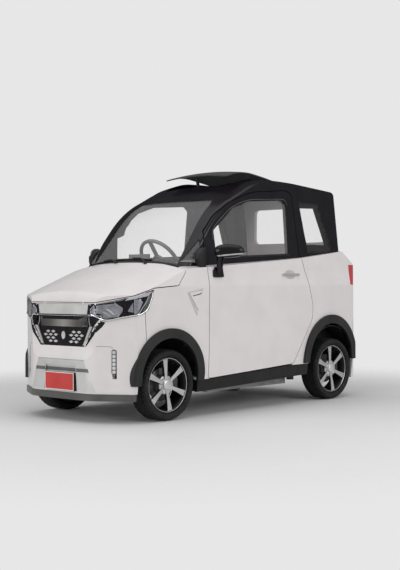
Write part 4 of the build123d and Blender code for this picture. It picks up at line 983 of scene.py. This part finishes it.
blade_steps = 10
for part, pivot, elbow, tip, ends in (
        ("left", (0.215, -0.742), (0.120, -0.690), (0.020, -0.672),
         ((0.205, -0.668), (-0.165, -0.690))),
        ("right", (-0.085, -0.745), (-0.190, -0.692), (-0.290, -0.672),
         ((-0.125, -0.668), (-0.420, -0.668))),
):
    tube(f"wiper_{part}_arm",
         [on_screen(*pivot, 0.012), on_screen(*elbow, 0.020), on_screen(*tip, 0.018)], 0.0065,
         trim_black, "body", flat=0.6)
    (x0, y0), (x1, y1) = ends
    blade = [on_screen(x0 + (x1 - x0) * k / blade_steps, y0 + (y1 - y0) * k / blade_steps, 0.008)
             for k in range(blade_steps + 1)]
    tube(f"wiper_{part}_blade", blade, 0.0065, trim_black, "body", 8)
    centre = on_screen(*pivot, 0.004)
    cap = bmesh.new()
    bmesh.ops.create_cone(cap, cap_ends=True, segments=24, radius1=0.014, radius2=0.010,
                          depth=0.020,
                          matrix=Matrix.Translation(centre))
    bmesh.ops.bevel(cap, geom=[e for e in cap.edges if e.calc_length() < 0.006], offset=0.0012,
                    segments=2, profile=0.5,
                    affect="EDGES")
    from_bmesh(f"wiper_{part}_pivot", cap, trim_black, "body")


# Seats: padded forms swollen by cloth simulation, with sewn channels
voxel, sim_frames = 0.009, 20


def swell(mesh, cap):
    """Remesh the form and let pressure round it, no point moving further than the cap."""
    work = bpy.data.objects.new("pad_work", mesh)
    scene.collection.objects.link(work)
    remesh = work.modifiers.new("remesh", "REMESH")
    remesh.mode = "VOXEL"
    remesh.voxel_size = voxel
    depsgraph = bpy.context.evaluated_depsgraph_get()
    grown = bpy.data.meshes.new_from_object(work.evaluated_get(depsgraph))
    work.modifiers.clear()
    work.data = grown
    cloth = work.modifiers.new("cloth", "CLOTH")
    cloth.settings.use_pressure = True
    cloth.settings.uniform_pressure_force = 4
    cloth.settings.effector_weights.gravity = 0
    for step in range(1, sim_frames + 1):
        scene.frame_set(step)
    moved = work.evaluated_get(bpy.context.evaluated_depsgraph_get()).data
    places = []
    for old, new in zip(grown.vertices, moved.vertices):
        shift = new.co - old.co
        places.append(old.co + (shift.normalized() * cap if shift.length > cap else shift))
    work.modifiers.clear()
    for vert, place in zip(grown.vertices, places):
        vert.co = place
    scene.frame_set(1)
    bpy.data.objects.remove(work)
    return grown


pad_inset = 0.013
channel_half, channel_depth = 0.016, 0.006


def cushion(name, outline, half, channels, cap, node):
    """A padded form over a side outline (y, z); channels are sewn lines at these x."""
    mid_y = (min(y for y, _ in outline) + max(y for y, _ in outline)) / 2
    mid_z = (min(z for _, z in outline) + max(z for _, z in outline)) / 2
    centre = Vector((mid_y, mid_z))
    ring = []
    for y, z in outline:
        away = Vector((y, z)) - centre
        ring.append(centre + Vector([math.copysign(max(abs(a) - pad_inset, 0), a) for a in away]))
    form = bmesh.new()
    extrude(form, [(-half + pad_inset, y, z) for y, z in ring], (2 * (half - pad_inset), 0, 0))
    bmesh.ops.recalc_face_normals(form, faces=form.faces[:])
    bmesh.ops.bevel(form, geom=form.edges[:], offset=0.016, segments=3, profile=0.6, affect="EDGES")
    mesh = bpy.data.meshes.new(name)
    form.to_mesh(mesh)
    form.free()
    mesh = swell(mesh, cap)
    mesh.materials.clear()
    for vert in mesh.vertices:
        for x in channels:
            off = abs(vert.co.x - x)
            if off < channel_half:
                vert.co -= vert.normal * channel_depth * (1 - (off / channel_half) ** 2) ** 2
    piece = make_object(name, mesh, seat_cloth, "body", None)
    piece.modifiers.new("smooth", "SUBSURF").levels = 1
    piece.modifiers["smooth"].render_levels = 1
    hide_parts(node)


seat_cloth = plain("woven_seat_cloth", (0.020, 0.020, 0.022), (0.034, 0.034, 0.036), (0.8, 0.92),
                   grain=700, depth=0.9,
                   spec=0.25)
cushion("driver_cushion", [(-0.110, 0.397), (0.330, 0.397), (0.350, 0.500), (-0.090, 0.530)], 0.230,
        (-0.13, 0.13), 0.014,
        "driver_seat")
cushion("driver_back", [(0.262, 0.535), (0.378, 0.540), (0.448, 1.040), (0.372, 1.050)], 0.215,
        (-0.12, 0.12), 0.014,
        "driver_seat")
cushion("driver_headrest", [(0.388, 1.064), (0.448, 1.058), (0.464, 1.186), (0.412, 1.194)], 0.120,
        (), 0.010,
        "driver_seat")
cushion("bench_cushion", [(0.600, 0.602), (1.010, 0.602), (1.010, 0.690), (0.590, 0.710)], 0.385,
        (-0.19, 0.0, 0.19), 0.013,
        "rear_bench")
cushion("bench_back", [(0.930, 0.694), (1.030, 0.694), (1.096, 1.048), (1.036, 1.052)], 0.430,
        (-0.21, 0.0, 0.21), 0.013,
        "rear_bench")
for part, x in (("left", 0.060), ("right", -0.060)):
    tube(f"headrest_post_{part}", [(x, 0.412, 1.010), (x, 0.420, 1.060), (x, 0.428, 1.110)], 0.006,
         chrome, "body",
         12)

# Dash display, facing the driver
slab("dash_display", (-0.207, -0.4850, 1.047), (-0.013, -0.4815, 1.133), screen_mat, "body",
     0.0012)
